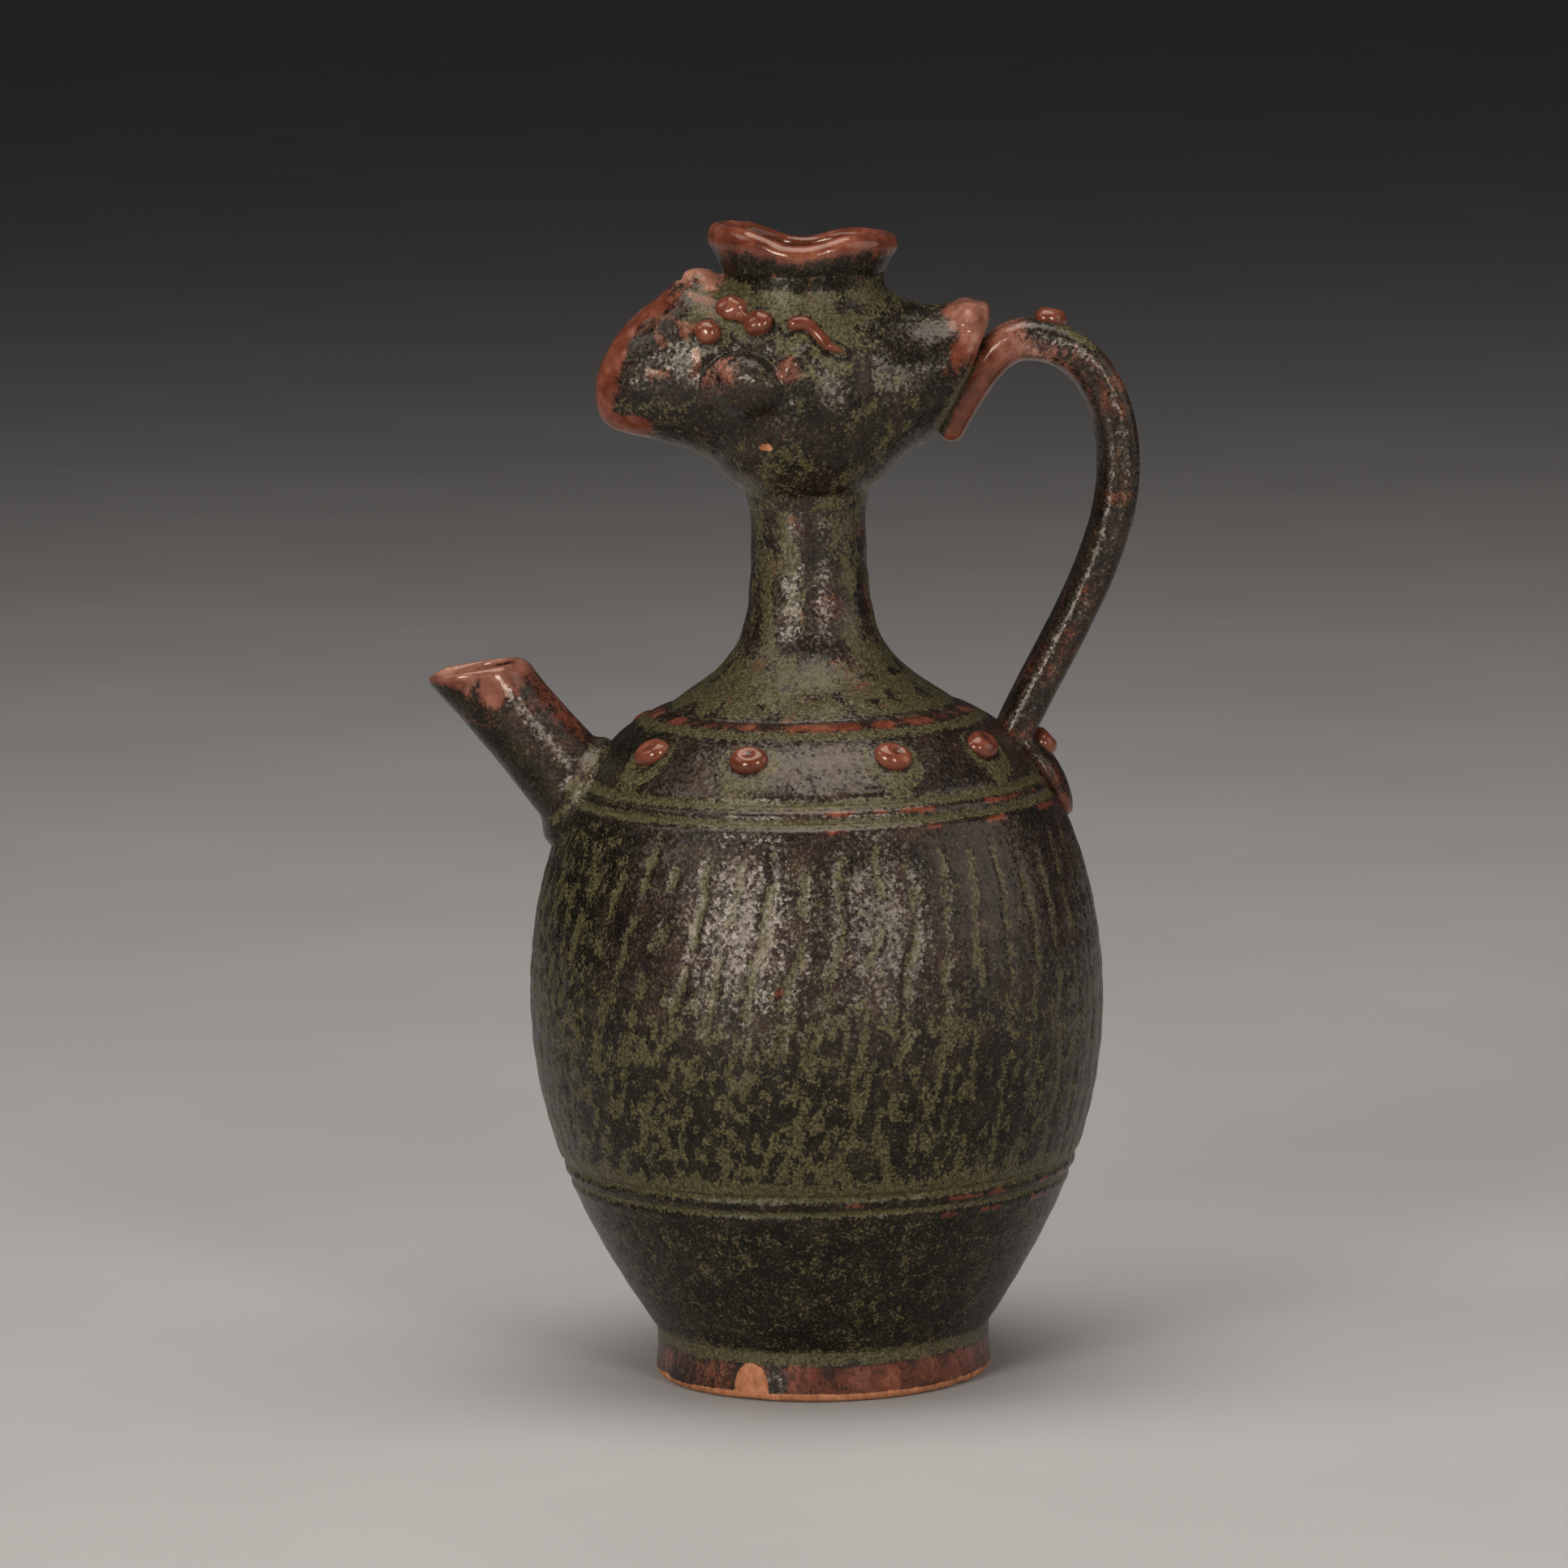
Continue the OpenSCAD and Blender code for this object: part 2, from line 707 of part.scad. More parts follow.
module brow(side) {
  middle = head_seat(brow_h);
  near = head_seat(brow_h - brow_tilt) - brow_lobe_sink * head_out(brow_h - brow_tilt);
  far = head_seat(brow_h + brow_tilt);
  color(red_glaze)
    face_side(side)
      difference() {
        union() {
          translate(around(middle, brow_start + brow_sweep / 2))
            sphere(r = brow_r);
          translate(around(near, brow_start))
            sphere(r = brow_lobe_r);
          translate(around(far, brow_start + brow_sweep))
            sphere(r = brow_lobe_r);
        }
        head_outside();
        beak_form();
      }
}

// The feather coil is a thin clay worm that bends over and then runs down the side of the head.
coil_sides = 10;
coil_steps = 12;
coil_bend_turn = 240;
function coil_h(s) = feather_top_h + s * (feather_low_h - feather_top_h)
  + feather_bend * max(0, sin(coil_bend_turn * s));
function coil_place(s) = around(head_seat(coil_h(s)), feather_start - s * feather_sweep);
function coil_way(s) = unit(coil_place(s + 0.01) - coil_place(s - 0.01));
function coil_ring(s) =
  let (way = coil_way(s), out = unit(cross(way, cross([coil_place(s)[0], coil_place(s)[1], 0], way))),
    side = cross(way, out))
  [for (i = [0:coil_sides - 1]) let (a = 360 * i / coil_sides)
    coil_place(s) + feather_r * (cos(a) * out + sin(a) * side)];

module feather_coil(side) {
  color(red_glaze)
    face_side(side)
      difference() {
        loft([for (k = [0:coil_steps]) coil_ring(k / coil_steps)]);
        head_outside();
        crest_form();
      }
}

// The spout's own frame: its seat on the shoulder, with the local Z axis along the tube.
module spout_frame() {
  at = seat(high_curve, shoulder_z - spout_drop);
  translate([-at[0], 0, at[1]])
    rotate([0, spout_angle - 90, 0])
      children();
}

spout_sink = 14;
spout_spare = 14;

module spout_bore() {
  spout_frame()
    translate([0, 0, -spout_sink])
      cylinder(h = spout_sink + spout_len + spout_spare, r = spout_bore_r);
}

module spout() {
  wall_curve = [
    [spout_r + spout_root, -spout_sink],
    [spout_r + spout_root, 0],
    [spout_r - spout_root / 2, spout_len / 2],
    [spout_tip_r, spout_len]
  ];
  color(red_glaze)
    difference() {
      spout_frame()
        rotate_extrude()
          polygon(concat(
            [[0, -spout_sink]],
            outline(wall_curve),
            [[spout_tip_r, spout_len + spout_spare], [0, spout_len + spout_spare]]
          ));
      spout_bore();
      body_outside();
      spout_frame()
        translate([0, 0, spout_len])
          rotate([0, 90 - spout_angle - spout_cut, 0])
            translate([-big / 2, -big / 2, 0])
              cube([big, big, big]);
    }
}

// The strap's middle line: up the lower run, over the arch and down the crest's back.
foot_at = shoulder_z - handle_drop;
strap_foot = seat(high_curve, foot_at) - body_wall / 2 * seat_out(high_curve, foot_at);
strap_far = [handle_reach - handle_t / 2, head_z + handle_far_h];
strap_top = [handle_top_x, head_z + handle_top_h - handle_t / 2];
crest_low = [crest_low_x, head_z + crest_low_h];
crest_up = unit([crest_top_x - crest_low_x, crest_top_h - crest_low_h]);
crest_away = -inward(crest_up);
tongue_tip = crest_low + (tongue_t / 2 - tongue_press) * crest_away;
lean_way = [cos(handle_lean), sin(handle_lean)];

strap_low = [
  strap_foot,
  strap_foot + strap_foot_pull * lean_way,
  strap_far - [0, strap_rise_pull],
  strap_far
];
strap_arch = [
  strap_far,
  strap_far + [0, strap_far_pull],
  strap_top + [strap_top_pull, 0],
  strap_top
];
strap_tongue = [
  strap_top,
  strap_top - [tongue_top_pull, 0],
  tongue_tip + tongue_tip_pull * crest_up,
  tongue_tip
];

// Half sections in the strap's own frame: across its thickness, then across its width.
function squared(v, p) = sign(v) * pow(abs(v), p);
edge_square = 0.8;
face_square = 0.7;
groove_share = 0.3;
function strap_point(thick, wide, a) =
  let (side = wide / 2 * squared(sin(a), edge_square), out = thick / 2 * squared(cos(a), face_square),
    dip = cos(a) > 0 ? handle_groove * max(0, 1 - pow(side / (wide * groove_share), 2)) : 0)
  [out - dip, side];
function strap_ring(p, t, thick, wide) =
  let (at = bez(p, t), out = -inward(unit(bez_way(p, t))))
  [for (i = [0:ring_sides - 1]) let (q = strap_point(thick, wide, 360 * i / ring_sides))
    [at[0] + q[0] * out[0], q[1], at[1] + q[0] * out[1]]];
tongue_turn_t = 1 - tongue_round / norm(tongue_tip - strap_top);
function tongue_ring(t) = let (d = 2 * drawn_in(t, tongue_turn_t, tongue_round))
  strap_ring(strap_tongue, t, handle_t + t * (tongue_t - handle_t) - d,
    handle_w + t * (tongue_w - handle_w) - d);
function strap_rings() = concat(
  [for (k = [0:strap_steps - 1]) strap_ring(strap_low, k / strap_steps, handle_t, handle_w)],
  [for (k = [0:strap_steps - 1]) strap_ring(strap_arch, k / strap_steps, handle_t, handle_w)],
  [for (k = [0:strap_steps - 1]) tongue_ring(tongue_turn_t * k / strap_steps)],
  [for (k = [0:round_steps]) tongue_ring(tongue_turn_t + (1 - tongue_turn_t) * sin(90 * k / round_steps))]
);

module strap_form() {
  loft(strap_rings());
}

// The leaf follows the shoulder's curve and swells in its middle.
leaf_steps = 10;
leaf_least = 0.12;
leaf_start = 20;
leaf_cover = 3;
leaf_head = handle_drop - leaf_cover;
function leaf_ring(s) =
  let (z = shoulder_z - leaf_head - s * (leaf_drop - leaf_head),
    at = seat(high_curve, z),
    out = seat_out(high_curve, z),
    swell = leaf_least + (1 - leaf_least) * sqrt(sin(leaf_start + (180 - leaf_start) * s)))
  [for (i = [0:ring_sides - 1]) let (a = 360 * i / ring_sides, up = leaf_t * swell * cos(a))
    [at[0] + up * out[0], leaf_w / 2 * swell * sin(a), at[1] + up * out[1]]];

module leaf_form() {
  loft(reversed([for (k = [0:leaf_steps]) leaf_ring(k / leaf_steps)]));
}

module handle() {
  color(red_glaze)
    difference() {
      union() {
        strap_form();
        leaf_form();
      }
      body_outside();
      crest_form();
      head_outside();
    }
}

module shoulder_buttons() {
  z = shoulder_z - button_drop;
  at = seat(high_curve, z) + (button_up - button_r) * seat_out(high_curve, z);
  color(red_glaze)
    difference() {
      for (face = [0, 180], hand = [-1, 1], k = [0:1])
        rotate([0, 0, face + hand * (button_first + k * button_step)])
          translate([0, -at[0], at[1]])
            sphere(r = button_r);
      body_outside();
    }
}

module handle_button_upper() {
  out = -inward(unit(bez_way(strap_arch, arch_button_at)));
  at = bez(strap_arch, arch_button_at) + (handle_t / 2 - handle_groove + button_up - button_r) * out;
  color(red_glaze)
    difference() {
      translate([at[0], 0, at[1]])
        sphere(r = button_r);
      strap_form();
    }
}

module handle_button_lower() {
  z = shoulder_z - leaf_button_drop;
  at = seat(high_curve, z) + (leaf_t + button_up - button_r) * seat_out(high_curve, z);
  color(red_glaze)
    difference() {
      translate([at[0], 0, at[1]])
        sphere(r = button_r);
      leaf_form();
      strap_form();
      body_outside();
    }
}

foot_ring();
lower_body();
upper_body();
neck();
head_bulb();
mouth_rim();
spout();
handle();
beak();
crest();
comb();
eye(-1);  // eye_left
eye(1);  // eye_right
cheek(-1);  // cheek_left
cheek(1);  // cheek_right
ear(-1);  // ear_left
ear(1);  // ear_right
brow(-1);  // brow_left
brow(1);  // brow_right
feather_coil(-1);  // feather_coil_left
feather_coil(1);  // feather_coil_right
shoulder_buttons();
handle_button_upper();
handle_button_lower();
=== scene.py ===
import bmesh
import bpy
import math
from mathutils import Matrix, Vector, noise
from mathutils.bvhtree import BVHTree


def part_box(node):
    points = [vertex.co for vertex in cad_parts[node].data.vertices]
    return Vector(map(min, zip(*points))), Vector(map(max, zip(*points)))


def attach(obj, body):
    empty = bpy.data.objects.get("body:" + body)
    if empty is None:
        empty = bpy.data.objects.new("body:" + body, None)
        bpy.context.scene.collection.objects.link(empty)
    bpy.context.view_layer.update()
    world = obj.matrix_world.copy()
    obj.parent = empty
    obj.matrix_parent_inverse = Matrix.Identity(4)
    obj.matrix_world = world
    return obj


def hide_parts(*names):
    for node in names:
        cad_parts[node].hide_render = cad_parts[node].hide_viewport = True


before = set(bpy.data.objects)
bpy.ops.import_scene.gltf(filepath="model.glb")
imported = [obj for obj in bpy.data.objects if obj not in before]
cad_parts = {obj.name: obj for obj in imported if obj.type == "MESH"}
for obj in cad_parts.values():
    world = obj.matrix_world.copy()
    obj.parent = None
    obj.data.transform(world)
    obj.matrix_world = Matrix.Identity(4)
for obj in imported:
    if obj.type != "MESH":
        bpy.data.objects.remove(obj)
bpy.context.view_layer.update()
scene = bpy.context.scene
scene.view_settings.view_transform = "Standard"
mm = 0.001

# camera first: the photo's own place, worked out for a 1932 x 1932 picture
photoView = {
    "distance": 1800 * mm, "height": 397 * mm,
    "swing": 2.3, "pitch": 7.96, "roll": 1.1,  # degrees
    "aside": 7.05 * mm, "lens": 171.1, "sensor": 36, "clipEnd": 200,
}


def makeCamera(view):
    data = bpy.data.cameras.new("photoCamera")
    data.lens = view["lens"]
    data.sensor_width = view["sensor"]
    data.clip_end = view["clipEnd"]
    camera = bpy.data.objects.new("photoCamera", data)
    scene.collection.objects.link(camera)
    turn = Matrix.Rotation(math.radians(-view["swing"]), 4, "Z")
    place = turn @ Vector((-view["aside"], -view["distance"], view["height"]))
    tilt = Matrix.Rotation(math.radians(90 - view["pitch"]), 4, "X")
    roll = Matrix.Rotation(math.radians(-view["roll"]), 4, "Z")
    camera.matrix_world = Matrix.Translation(place) @ turn @ tilt @ roll
    scene.camera = camera


makeCamera(photoView)
print("camera placed")

# two soft boxes in front, a weak one at each side and a big one overhead, all aimed at the belly
lamps = {
    "leftBox": {"azimuth": -34, "rise": 15, "distance": 1.6, "wide": 0.56, "tall": 0.58, "power": 16.5},
    "rightBox": {"azimuth": 24, "rise": 15, "distance": 1.6, "wide": 0.31, "tall": 0.58, "power": 9},
    "sideBox": {"azimuth": 76, "rise": 20, "distance": 2, "wide": 1.6, "tall": 1.6, "power": 8},
    "window": {"azimuth": -78, "rise": 40, "distance": 1.8, "wide": 0.9, "tall": 0.7, "power": 4.5},
    "overhead": {"azimuth": -10, "rise": 86, "distance": 1.7, "wide": 1.7, "tall": 1.4, "power": 27},
}
studio = {"colour": (0.62, 0.62, 0.64), "strength": 0.05, "warm": (1, 0.93, 0.85), "aim": (0, 0, 0.13)}


def makeLights(table, world):
    aim = Vector(world["aim"])
    for name, lamp in table.items():
        data = bpy.data.lights.new(name, "AREA")
        data.shape = "ELLIPSE"
        data.size, data.size_y, data.energy = lamp["wide"], lamp["tall"], lamp["power"]
        data.color = world["warm"]
        light = bpy.data.objects.new(name, data)
        scene.collection.objects.link(light)
        a, e = math.radians(lamp["azimuth"]), math.radians(lamp["rise"])
        away = Vector((math.sin(a) * math.cos(e), -math.cos(a) * math.cos(e), math.sin(e)))
        light.location = aim + away * lamp["distance"]
        light.rotation_euler = away.to_track_quat("Z", "Y").to_euler()
    scene.world = bpy.data.worlds.new("studio")
    scene.world.use_nodes = True
    back = scene.world.node_tree.nodes["Background"]
    back.inputs["Color"].default_value = (*world["colour"], 1)
    back.inputs["Strength"].default_value = world["strength"]


makeLights(lamps, studio)
print("lights placed")


# small node helpers
def srgb(red, green, blue):
    parts = [c / 255 for c in (red, green, blue)]
    return (*[c / 12.92 if c <= 0.04045 else ((c + 0.055) / 1.055) ** 2.4 for c in parts], 1)


def addNode(tree, kind, options=(), sockets=()):
    node = tree.nodes.new("ShaderNode" + kind)
    for key, value in dict(options).items():
        setattr(node, key, value)
    for key, value in dict(sockets).items():
        if isinstance(value, bpy.types.NodeSocket):
            tree.links.new(value, node.inputs[key])
        else:
            node.inputs[key].default_value = value
    return node


def grainNoise(tree, place, scale, detail, rough):
    return addNode(tree, "TexNoise", {}, {
        "Vector": place, "Scale": scale, "Detail": detail, "Roughness": rough}).outputs["Fac"]


def sums(tree, kind, a, b):
    return addNode(tree, "Math", {"operation": kind}, {0: a, 1: b}).outputs[0]


def vectorSum(tree, kind, a, b):
    return addNode(tree, "VectorMath", {"operation": kind}, {0: a, 1: b}).outputs[0]


def offCentre(tree, value, amount):
    return sums(tree, "MULTIPLY", sums(tree, "SUBTRACT", value, 0.5), amount)


def spread(tree, value, fromLow, fromHigh, toLow=0.0, toHigh=1.0, smooth=True):
    return addNode(tree, "MapRange", {"interpolation_type": "SMOOTHSTEP" if smooth else "LINEAR"}, {
        "Value": value, "From Min": fromLow, "From Max": fromHigh,
        "To Min": toLow, "To Max": toHigh}).outputs["Result"]


def colourRun(tree, value, *stops):
    ramp = addNode(tree, "ValToRGB", {}, {"Fac": value})
    dots = ramp.color_ramp.elements
    while len(dots) < len(stops):
        dots.new(0.5)
    for dot, (at, colour) in zip(dots, stops):
        dot.position = at
        dot.color = srgb(*colour)
    return ramp.outputs["Color"]


def overlay(tree, mask, under, over):
    node = addNode(tree, "Mix", {"data_type": "RGBA"}, {"Factor": mask})
    for name, value in (("A", under), ("B", over)):
        socket = [s for s in node.inputs if s.name == name and s.type == "RGBA"][0]
        tree.links.new(value, socket)
    return [s for s in node.outputs if s.type == "RGBA"][0]


# tea-dust glaze: dark ground, olive where it pools, red-brown where it runs thin, bare clay where it stops
teaGlaze = {
    "cloud": (130, 6, 0.68), "patch": (430, 4, 0.62), "dust": (1300, 3, 0.7),  # scale, detail, roughness
    "dark": ((0.32, (12, 10, 9)), (0.5, (28, 19, 18)), (0.68, (50, 33, 30))),
    # deep: the colours of painted shade
    "deep": ((0.32, (7, 7, 5)), (0.5, (15, 14, 10)), (0.7, (30, 27, 19))),
    "olive": ((0.3, (32, 31, 18)), (0.5, (60, 57, 36)), (0.72, (102, 95, 66))),
    "red": ((0.3, (62, 30, 21)), (0.5, (98, 51, 37)), (0.7, (132, 80, 62))),
    # painted highlight: paler pink where light falls on the red glaze
    "paintedHighlight": ((0.3, (112, 70, 57)), (0.5, (152, 106, 91)), (0.7, (188, 148, 132))),
    "clay": ((0.3, (128, 76, 50)), (0.5, (158, 102, 70)), (0.72, (184, 130, 96))),
    "drawn": (1, 1, 0.62), "patchFray": 1.9, "dustFray": 1.6, "thinFray": 0.75, "bareFray": 0.35,
    "poolEdge": (0.3, 0.72), "thinEdge": (0.18, 0.86), "bareEdge": (0.42, 0.58),
    "dustEdge": (0.66, 0.82), "dustCloud": 0.35, "dustAmount": 0.3,
    "satin": (0.3, 0.7, 0.2, 0.35), "thinGloss": 0.12, "bareDull": 0.5, "poolDull": 0.1,
    "bump": 0.35, "bumpDepth": 0.2 * mm, "thinBump": 0.18, "crystalScale": 1350, "glitter": 0.23,
    "ior": 1.5, "shine": (0.45, 0.2), "shineTint": (1, 0.92, 0.82, 1),
}
# deep carries painted shade, and the last mark a painted highlight on the red glaze
glazeMarks = ("pool", "thin", "bare", "deep", "paintedHighlight")  # painted on the points of every piece


def makeGlaze(name, look):
    material = bpy.data.materials.new(name)
    material.use_nodes = True
    tree = material.node_tree
    shader = tree.nodes["Principled BSDF"]
    place = addNode(tree, "TexCoord").outputs["Object"]
    pool, thin, bare, deep, paintedHighlight = [
        addNode(tree, "Attribute", {"attribute_name": key}).outputs["Fac"] for key in glazeMarks]
    cloud = grainNoise(tree, place, *look["cloud"])
    drawn = vectorSum(tree, "MULTIPLY", place, look["drawn"])  # runs down a little
    patch = grainNoise(tree, drawn, *look["patch"])
    dust = grainNoise(tree, place, *look["dust"])
    # noise frays every edge of the glaze
    ragged = sums(tree, "ADD", offCentre(tree, patch, look["patchFray"]),
                  offCentre(tree, dust, look["dustFray"]))
    thinRagged, bareRagged = [sums(tree, "MULTIPLY", ragged, look[key]) for key in ("thinFray", "bareFray")]
    poolMask = spread(tree, sums(tree, "ADD", pool, ragged), *look["poolEdge"])
    thinMask = spread(tree, sums(tree, "ADD", thin, thinRagged), *look["thinEdge"])
    bareMask = spread(tree, sums(tree, "ADD", bare, bareRagged), *look["bareEdge"])
    clouded = sums(tree, "ADD", dust, sums(tree, "MULTIPLY", cloud, look["dustCloud"]))
    dusted = spread(tree, clouded, *look["dustEdge"], 0, look["dustAmount"])
    # painted shade: the dark ground turns to the deep colours
    dark = overlay(tree, deep, colourRun(tree, cloud, *look["dark"]), colourRun(tree, cloud, *look["deep"]))
    olive = colourRun(tree, dust, *look["olive"])
    # painted highlight: the red turns pale pink where this mark is painted
    red = overlay(tree, paintedHighlight, colourRun(tree, cloud, *look["red"]), colourRun(tree, cloud, *look["paintedHighlight"]))
    clay = colourRun(tree, patch, *look["clay"])
    colour = dark
    for mask, over in ((dusted, olive), (poolMask, olive), (thinMask, red), (bareMask, clay)):
        colour = overlay(tree, mask, colour, over)
    tree.links.new(colour, shader.inputs["Base Color"])
    satin = spread(tree, dust, *look["satin"], False)
    glossy = sums(tree, "MULTIPLY", thinMask, look["thinGloss"])
    bareDull = sums(tree, "MULTIPLY", bareMask, look["bareDull"])
    dull = sums(tree, "ADD", bareDull, sums(tree, "MULTIPLY", poolMask, look["poolDull"]))
    rough = sums(tree, "ADD", sums(tree, "SUBTRACT", satin, glossy), dull)
    tree.links.new(rough, shader.inputs["Roughness"])
    calm = spread(tree, thinMask, 0, 1, 1, look["thinBump"], False)
    grain = sums(tree, "MULTIPLY", dust, calm)
    bump = addNode(tree, "Bump", {}, {
        "Strength": look["bump"], "Distance": look["bumpDepth"], "Height": grain})
    # each crystal tips its own way
    crystal = addNode(tree, "TexVoronoi", {}, {"Vector": place, "Scale": look["crystalScale"]})
    lean = vectorSum(tree, "SUBTRACT", crystal.outputs["Color"], (0.5, 0.5, 0.5))
    lean = addNode(tree, "VectorMath", {"operation": "SCALE"}, {
        0: lean, "Scale": sums(tree, "MULTIPLY", calm, look["glitter"])}).outputs[0]
    facet = vectorSum(tree, "ADD", bump.outputs["Normal"], lean)
    facet = addNode(tree, "VectorMath", {"operation": "NORMALIZE"}, {0: facet}).outputs[0]
    tree.links.new(facet, shader.inputs["Normal"])
    shine = spread(tree, deep, 0, 1, *look["shine"], False)  # duller where painted shade lies
    tree.links.new(shine, shader.inputs["Specular IOR Level"])
    shader.inputs["IOR"].default_value = look["ior"]
    shader.inputs["Specular Tint"].default_value = look["shineTint"]
    return material


glaze = makeGlaze("teaDustGlaze", teaGlaze)


paleFloor = {
    "half": 30, "wash": (6, 4, 0.5), "rough": 0.7,
    "grey": ((0.3, (163, 163, 165)), (0.7, (170, 170, 172))),
}


def linkMesh(bm, name):
    mesh = bpy.data.meshes.new(name)
    bm.to_mesh(mesh)
    bm.free()
    made = bpy.data.objects.new(name, mesh)
    scene.collection.objects.link(made)
    return made


def makeFloor(look):
    bm = bmesh.new()
    bmesh.ops.create_grid(bm, x_segments=1, y_segments=1, size=look["half"])
    floor = linkMesh(bm, "floor")
    material = bpy.data.materials.new("paleFloor")
    material.use_nodes = True
    tree = material.node_tree
    place = addNode(tree, "TexCoord").outputs["Object"]
    wash = colourRun(tree, grainNoise(tree, place, *look["wash"]), *look["grey"])
    shader = tree.nodes["Principled BSDF"]
    tree.links.new(wash, shader.inputs["Base Color"])
    shader.inputs["Roughness"].default_value = look["rough"]
    floor.data.materials.append(material)


makeFloor(paleFloor)
print("floor and glaze ready")


# shape helpers: profiles are (radius, height) pairs on cubic curves that run upwards
def bez(p, t):
    s = 1 - t
    return p[0] * s ** 3 + p[1] * (3 * t * s * s) + p[2] * (3 * t * t * s) + p[3] * t ** 3


def pair(x, y):
    return Vector((x, y))


def alongCurve(p, count):
    return [bez(p, i / count) for i in range(count + 1)]


def wayAt(p, t):
    return (bez(p, min(t + 0.005, 1)) - bez(p, max(t - 0.005, 0))).normalized()


def insetCurve(p, depth, count):
    ways = [wayAt(p, i / count) for i in range(count + 1)]
    return [bez(p, i / count) + pair(-w.y, w.x) * depth for i, w in enumerate(ways)]


def timeAt(p, z):
    low, high = 0.0, 1.0
    for _ in range(26):
        mid = (low + high) / 2
        low, high = (mid, high) if bez(p, mid).y < z else (low, mid)
    return low


def atHeight(p, z):
    return bez(p, timeAt(p, z))


def outAt(p, z):
    way = wayAt(p, timeAt(p, z))
    return pair(way.y, -way.x)


def ease(low, high, value):
    t = min(max((value - low) / (high - low), 0), 1)
    return t * t * (3 - 2 * t)


def fade(low, high, value):  # low and high in mm
    return ease(low * mm, high * mm, value)


def hump(offset, width):
    return math.exp(-(offset / width) ** 2)


def mottle(p, size, shift=0.0):  # size in mm
    return noise.noise(p / (size * mm) + Vector((shift, 1.7 * shift, 0.3 * shift)))


def waves(p, grains):  # each grain has a depth and a size in mm, and its own shift
    return sum(depth * mm * mottle(p, size, shift) for depth, size, shift in grains)


def throwRings(p, depth, pitch, sway, size):  # the potter's fine rings, in mm
    return depth * mm * (1 + math.sin(p.z / (pitch * mm) + sway * mottle(p, size)))


def spinProfile(points, steps, closed=False):
    bm = bmesh.new()
    verts = [bm.verts.new((p.x, 0, p.y)) for p in points]
    edges = [bm.edges.new(ends) for ends in zip(verts, verts[1:])]
    if closed:
        edges.append(bm.edges.new((verts[-1], verts[0])))
    bmesh.ops.spin(bm, geom=verts + edges, cent=(0, 0, 0), axis=(0, 0, 1), angle=2 * math.pi,
                   steps=steps, use_merge=True)
    bmesh.ops.remove_doubles(bm, verts=bm.verts[:], dist=1e-6)
    bmesh.ops.recalc_face_normals(bm, faces=bm.faces[:])
    return bm


def bridgeRings(bm, rings):
    for first, second in zip(rings, rings[1:]):
        edges = [e for ring in (first, second) for e in {e for v in ring for e in v.link_edges}
                 if e.verts[0] in ring and e.verts[1] in ring]
        bmesh.ops.bridge_loops(bm, edges=edges)


def loftRings(bm, places, segments):
    start = set(bm.verts)
    rings = []
    for place in places:  # each place turns an angle into a point of its ring
        made = bmesh.ops.create_circle(bm, segments=segments, radius=1)["verts"]
        for v in made:
            v.co = place(math.atan2(v.co.y, v.co.x))
        rings.append(set(made))
    bridgeRings(bm, rings)
    new = [v for v in bm.verts if v not in start]
    ends = [e for e in {e for v in new for e in v.link_edges} if e.is_boundary]
    bmesh.ops.holes_fill(bm, edges=ends, sides=segments)
    bmesh.ops.recalc_face_normals(bm, faces=list({f for v in new for f in v.link_faces}))


def addBall(bm, place, size, turn=Matrix.Identity(4), segments=48):
    matrix = Matrix.Translation(place) @ turn @ Matrix.Diagonal((*size, 1))
    return bmesh.ops.create_uvsphere(
        bm, u_segments=segments, v_segments=segments // 2, radius=1, matrix=matrix)["verts"]


def relax(bm, verts, passes):
    for _ in range(passes):
        bmesh.ops.smooth_vert(
            bm, verts=verts, factor=0.5, use_axis_x=True, use_axis_y=True, use_axis_z=True)


def applied(holder):  # its shape with the modifiers, as a new bmesh
    bpy.context.view_layer.update()
    shape = bpy.data.meshes.new_from_object(holder.evaluated_get(bpy.context.evaluated_depsgraph_get()))
    bm = bmesh.new()
    bm.from_mesh(shape)
    return bm


def fuse(bm, voxel, smooths):
    holder = linkMesh(bm, "fusing")
    remesh = holder.modifiers.new("fuse", "REMESH")
    remesh.mode = "VOXEL"
    remesh.voxel_size = voxel
    bm = applied(holder)
    bpy.data.objects.remove(holder)
    relax(bm, bm.verts[:], smooths)
    return bm


def sculpt(bm, move):
    bm.normal_update()
    shifts = [(v, move(v.co, v.normal)) for v in bm.verts]
    for v, shift in shifts:
        v.co += v.normal * shift


def paint(bm, rule):
    bm.normal_update()
    layers = {key: bm.verts.layers.float.new(key) for key in glazeMarks}
    for v in bm.verts:
        for key, value in rule(v.co, v.normal).items():
            v[layers[key]] = value


def shadeFaces(bm, sharp=55):
    for f in bm.faces:
        f.smooth = True
    for e in bm.edges:
        e.smooth = e.calc_face_angle(0) < math.radians(sharp)


def settle(bm, name, slot, *nodes):
    shadeFaces(bm)
    piece = linkMesh(bm, name)
    piece.data.materials.append(glaze)
    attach(piece, "root")
    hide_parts(*nodes)
    print(name, len(piece.data.polygons), "faces")
    return piece


def turnOf(p):
    return math.degrees(math.atan2(p.x, -p.y))  # 0 faces the camera, 90 the handle


def turned(q, turn):
    a = math.radians(turn)
    return Vector((q.x * math.sin(a), -q.x * math.cos(a), q.y))


def apart(a, b):
    return (a - b + 180) % 360 - 180


def sideways(turn, at, r):  # way round the pot from one angle to another
    return math.radians(apart(turn, at)) * r


def nearSide(p):
    return Vector((p.x, -abs(p.y), p.z))


def upright(q):
    return Vector((q.x, 0, q.y))


def roundOff(t, start, radius):  # how far a rounded end has drawn in
    if t < start:
        return 0
    return radius * (1 - math.sqrt(max(1 - ((t - start) / (1 - start)) ** 2, 0)))


def axes(x, y, z):
    return Matrix((x, y, z)).transposed().to_4x4()


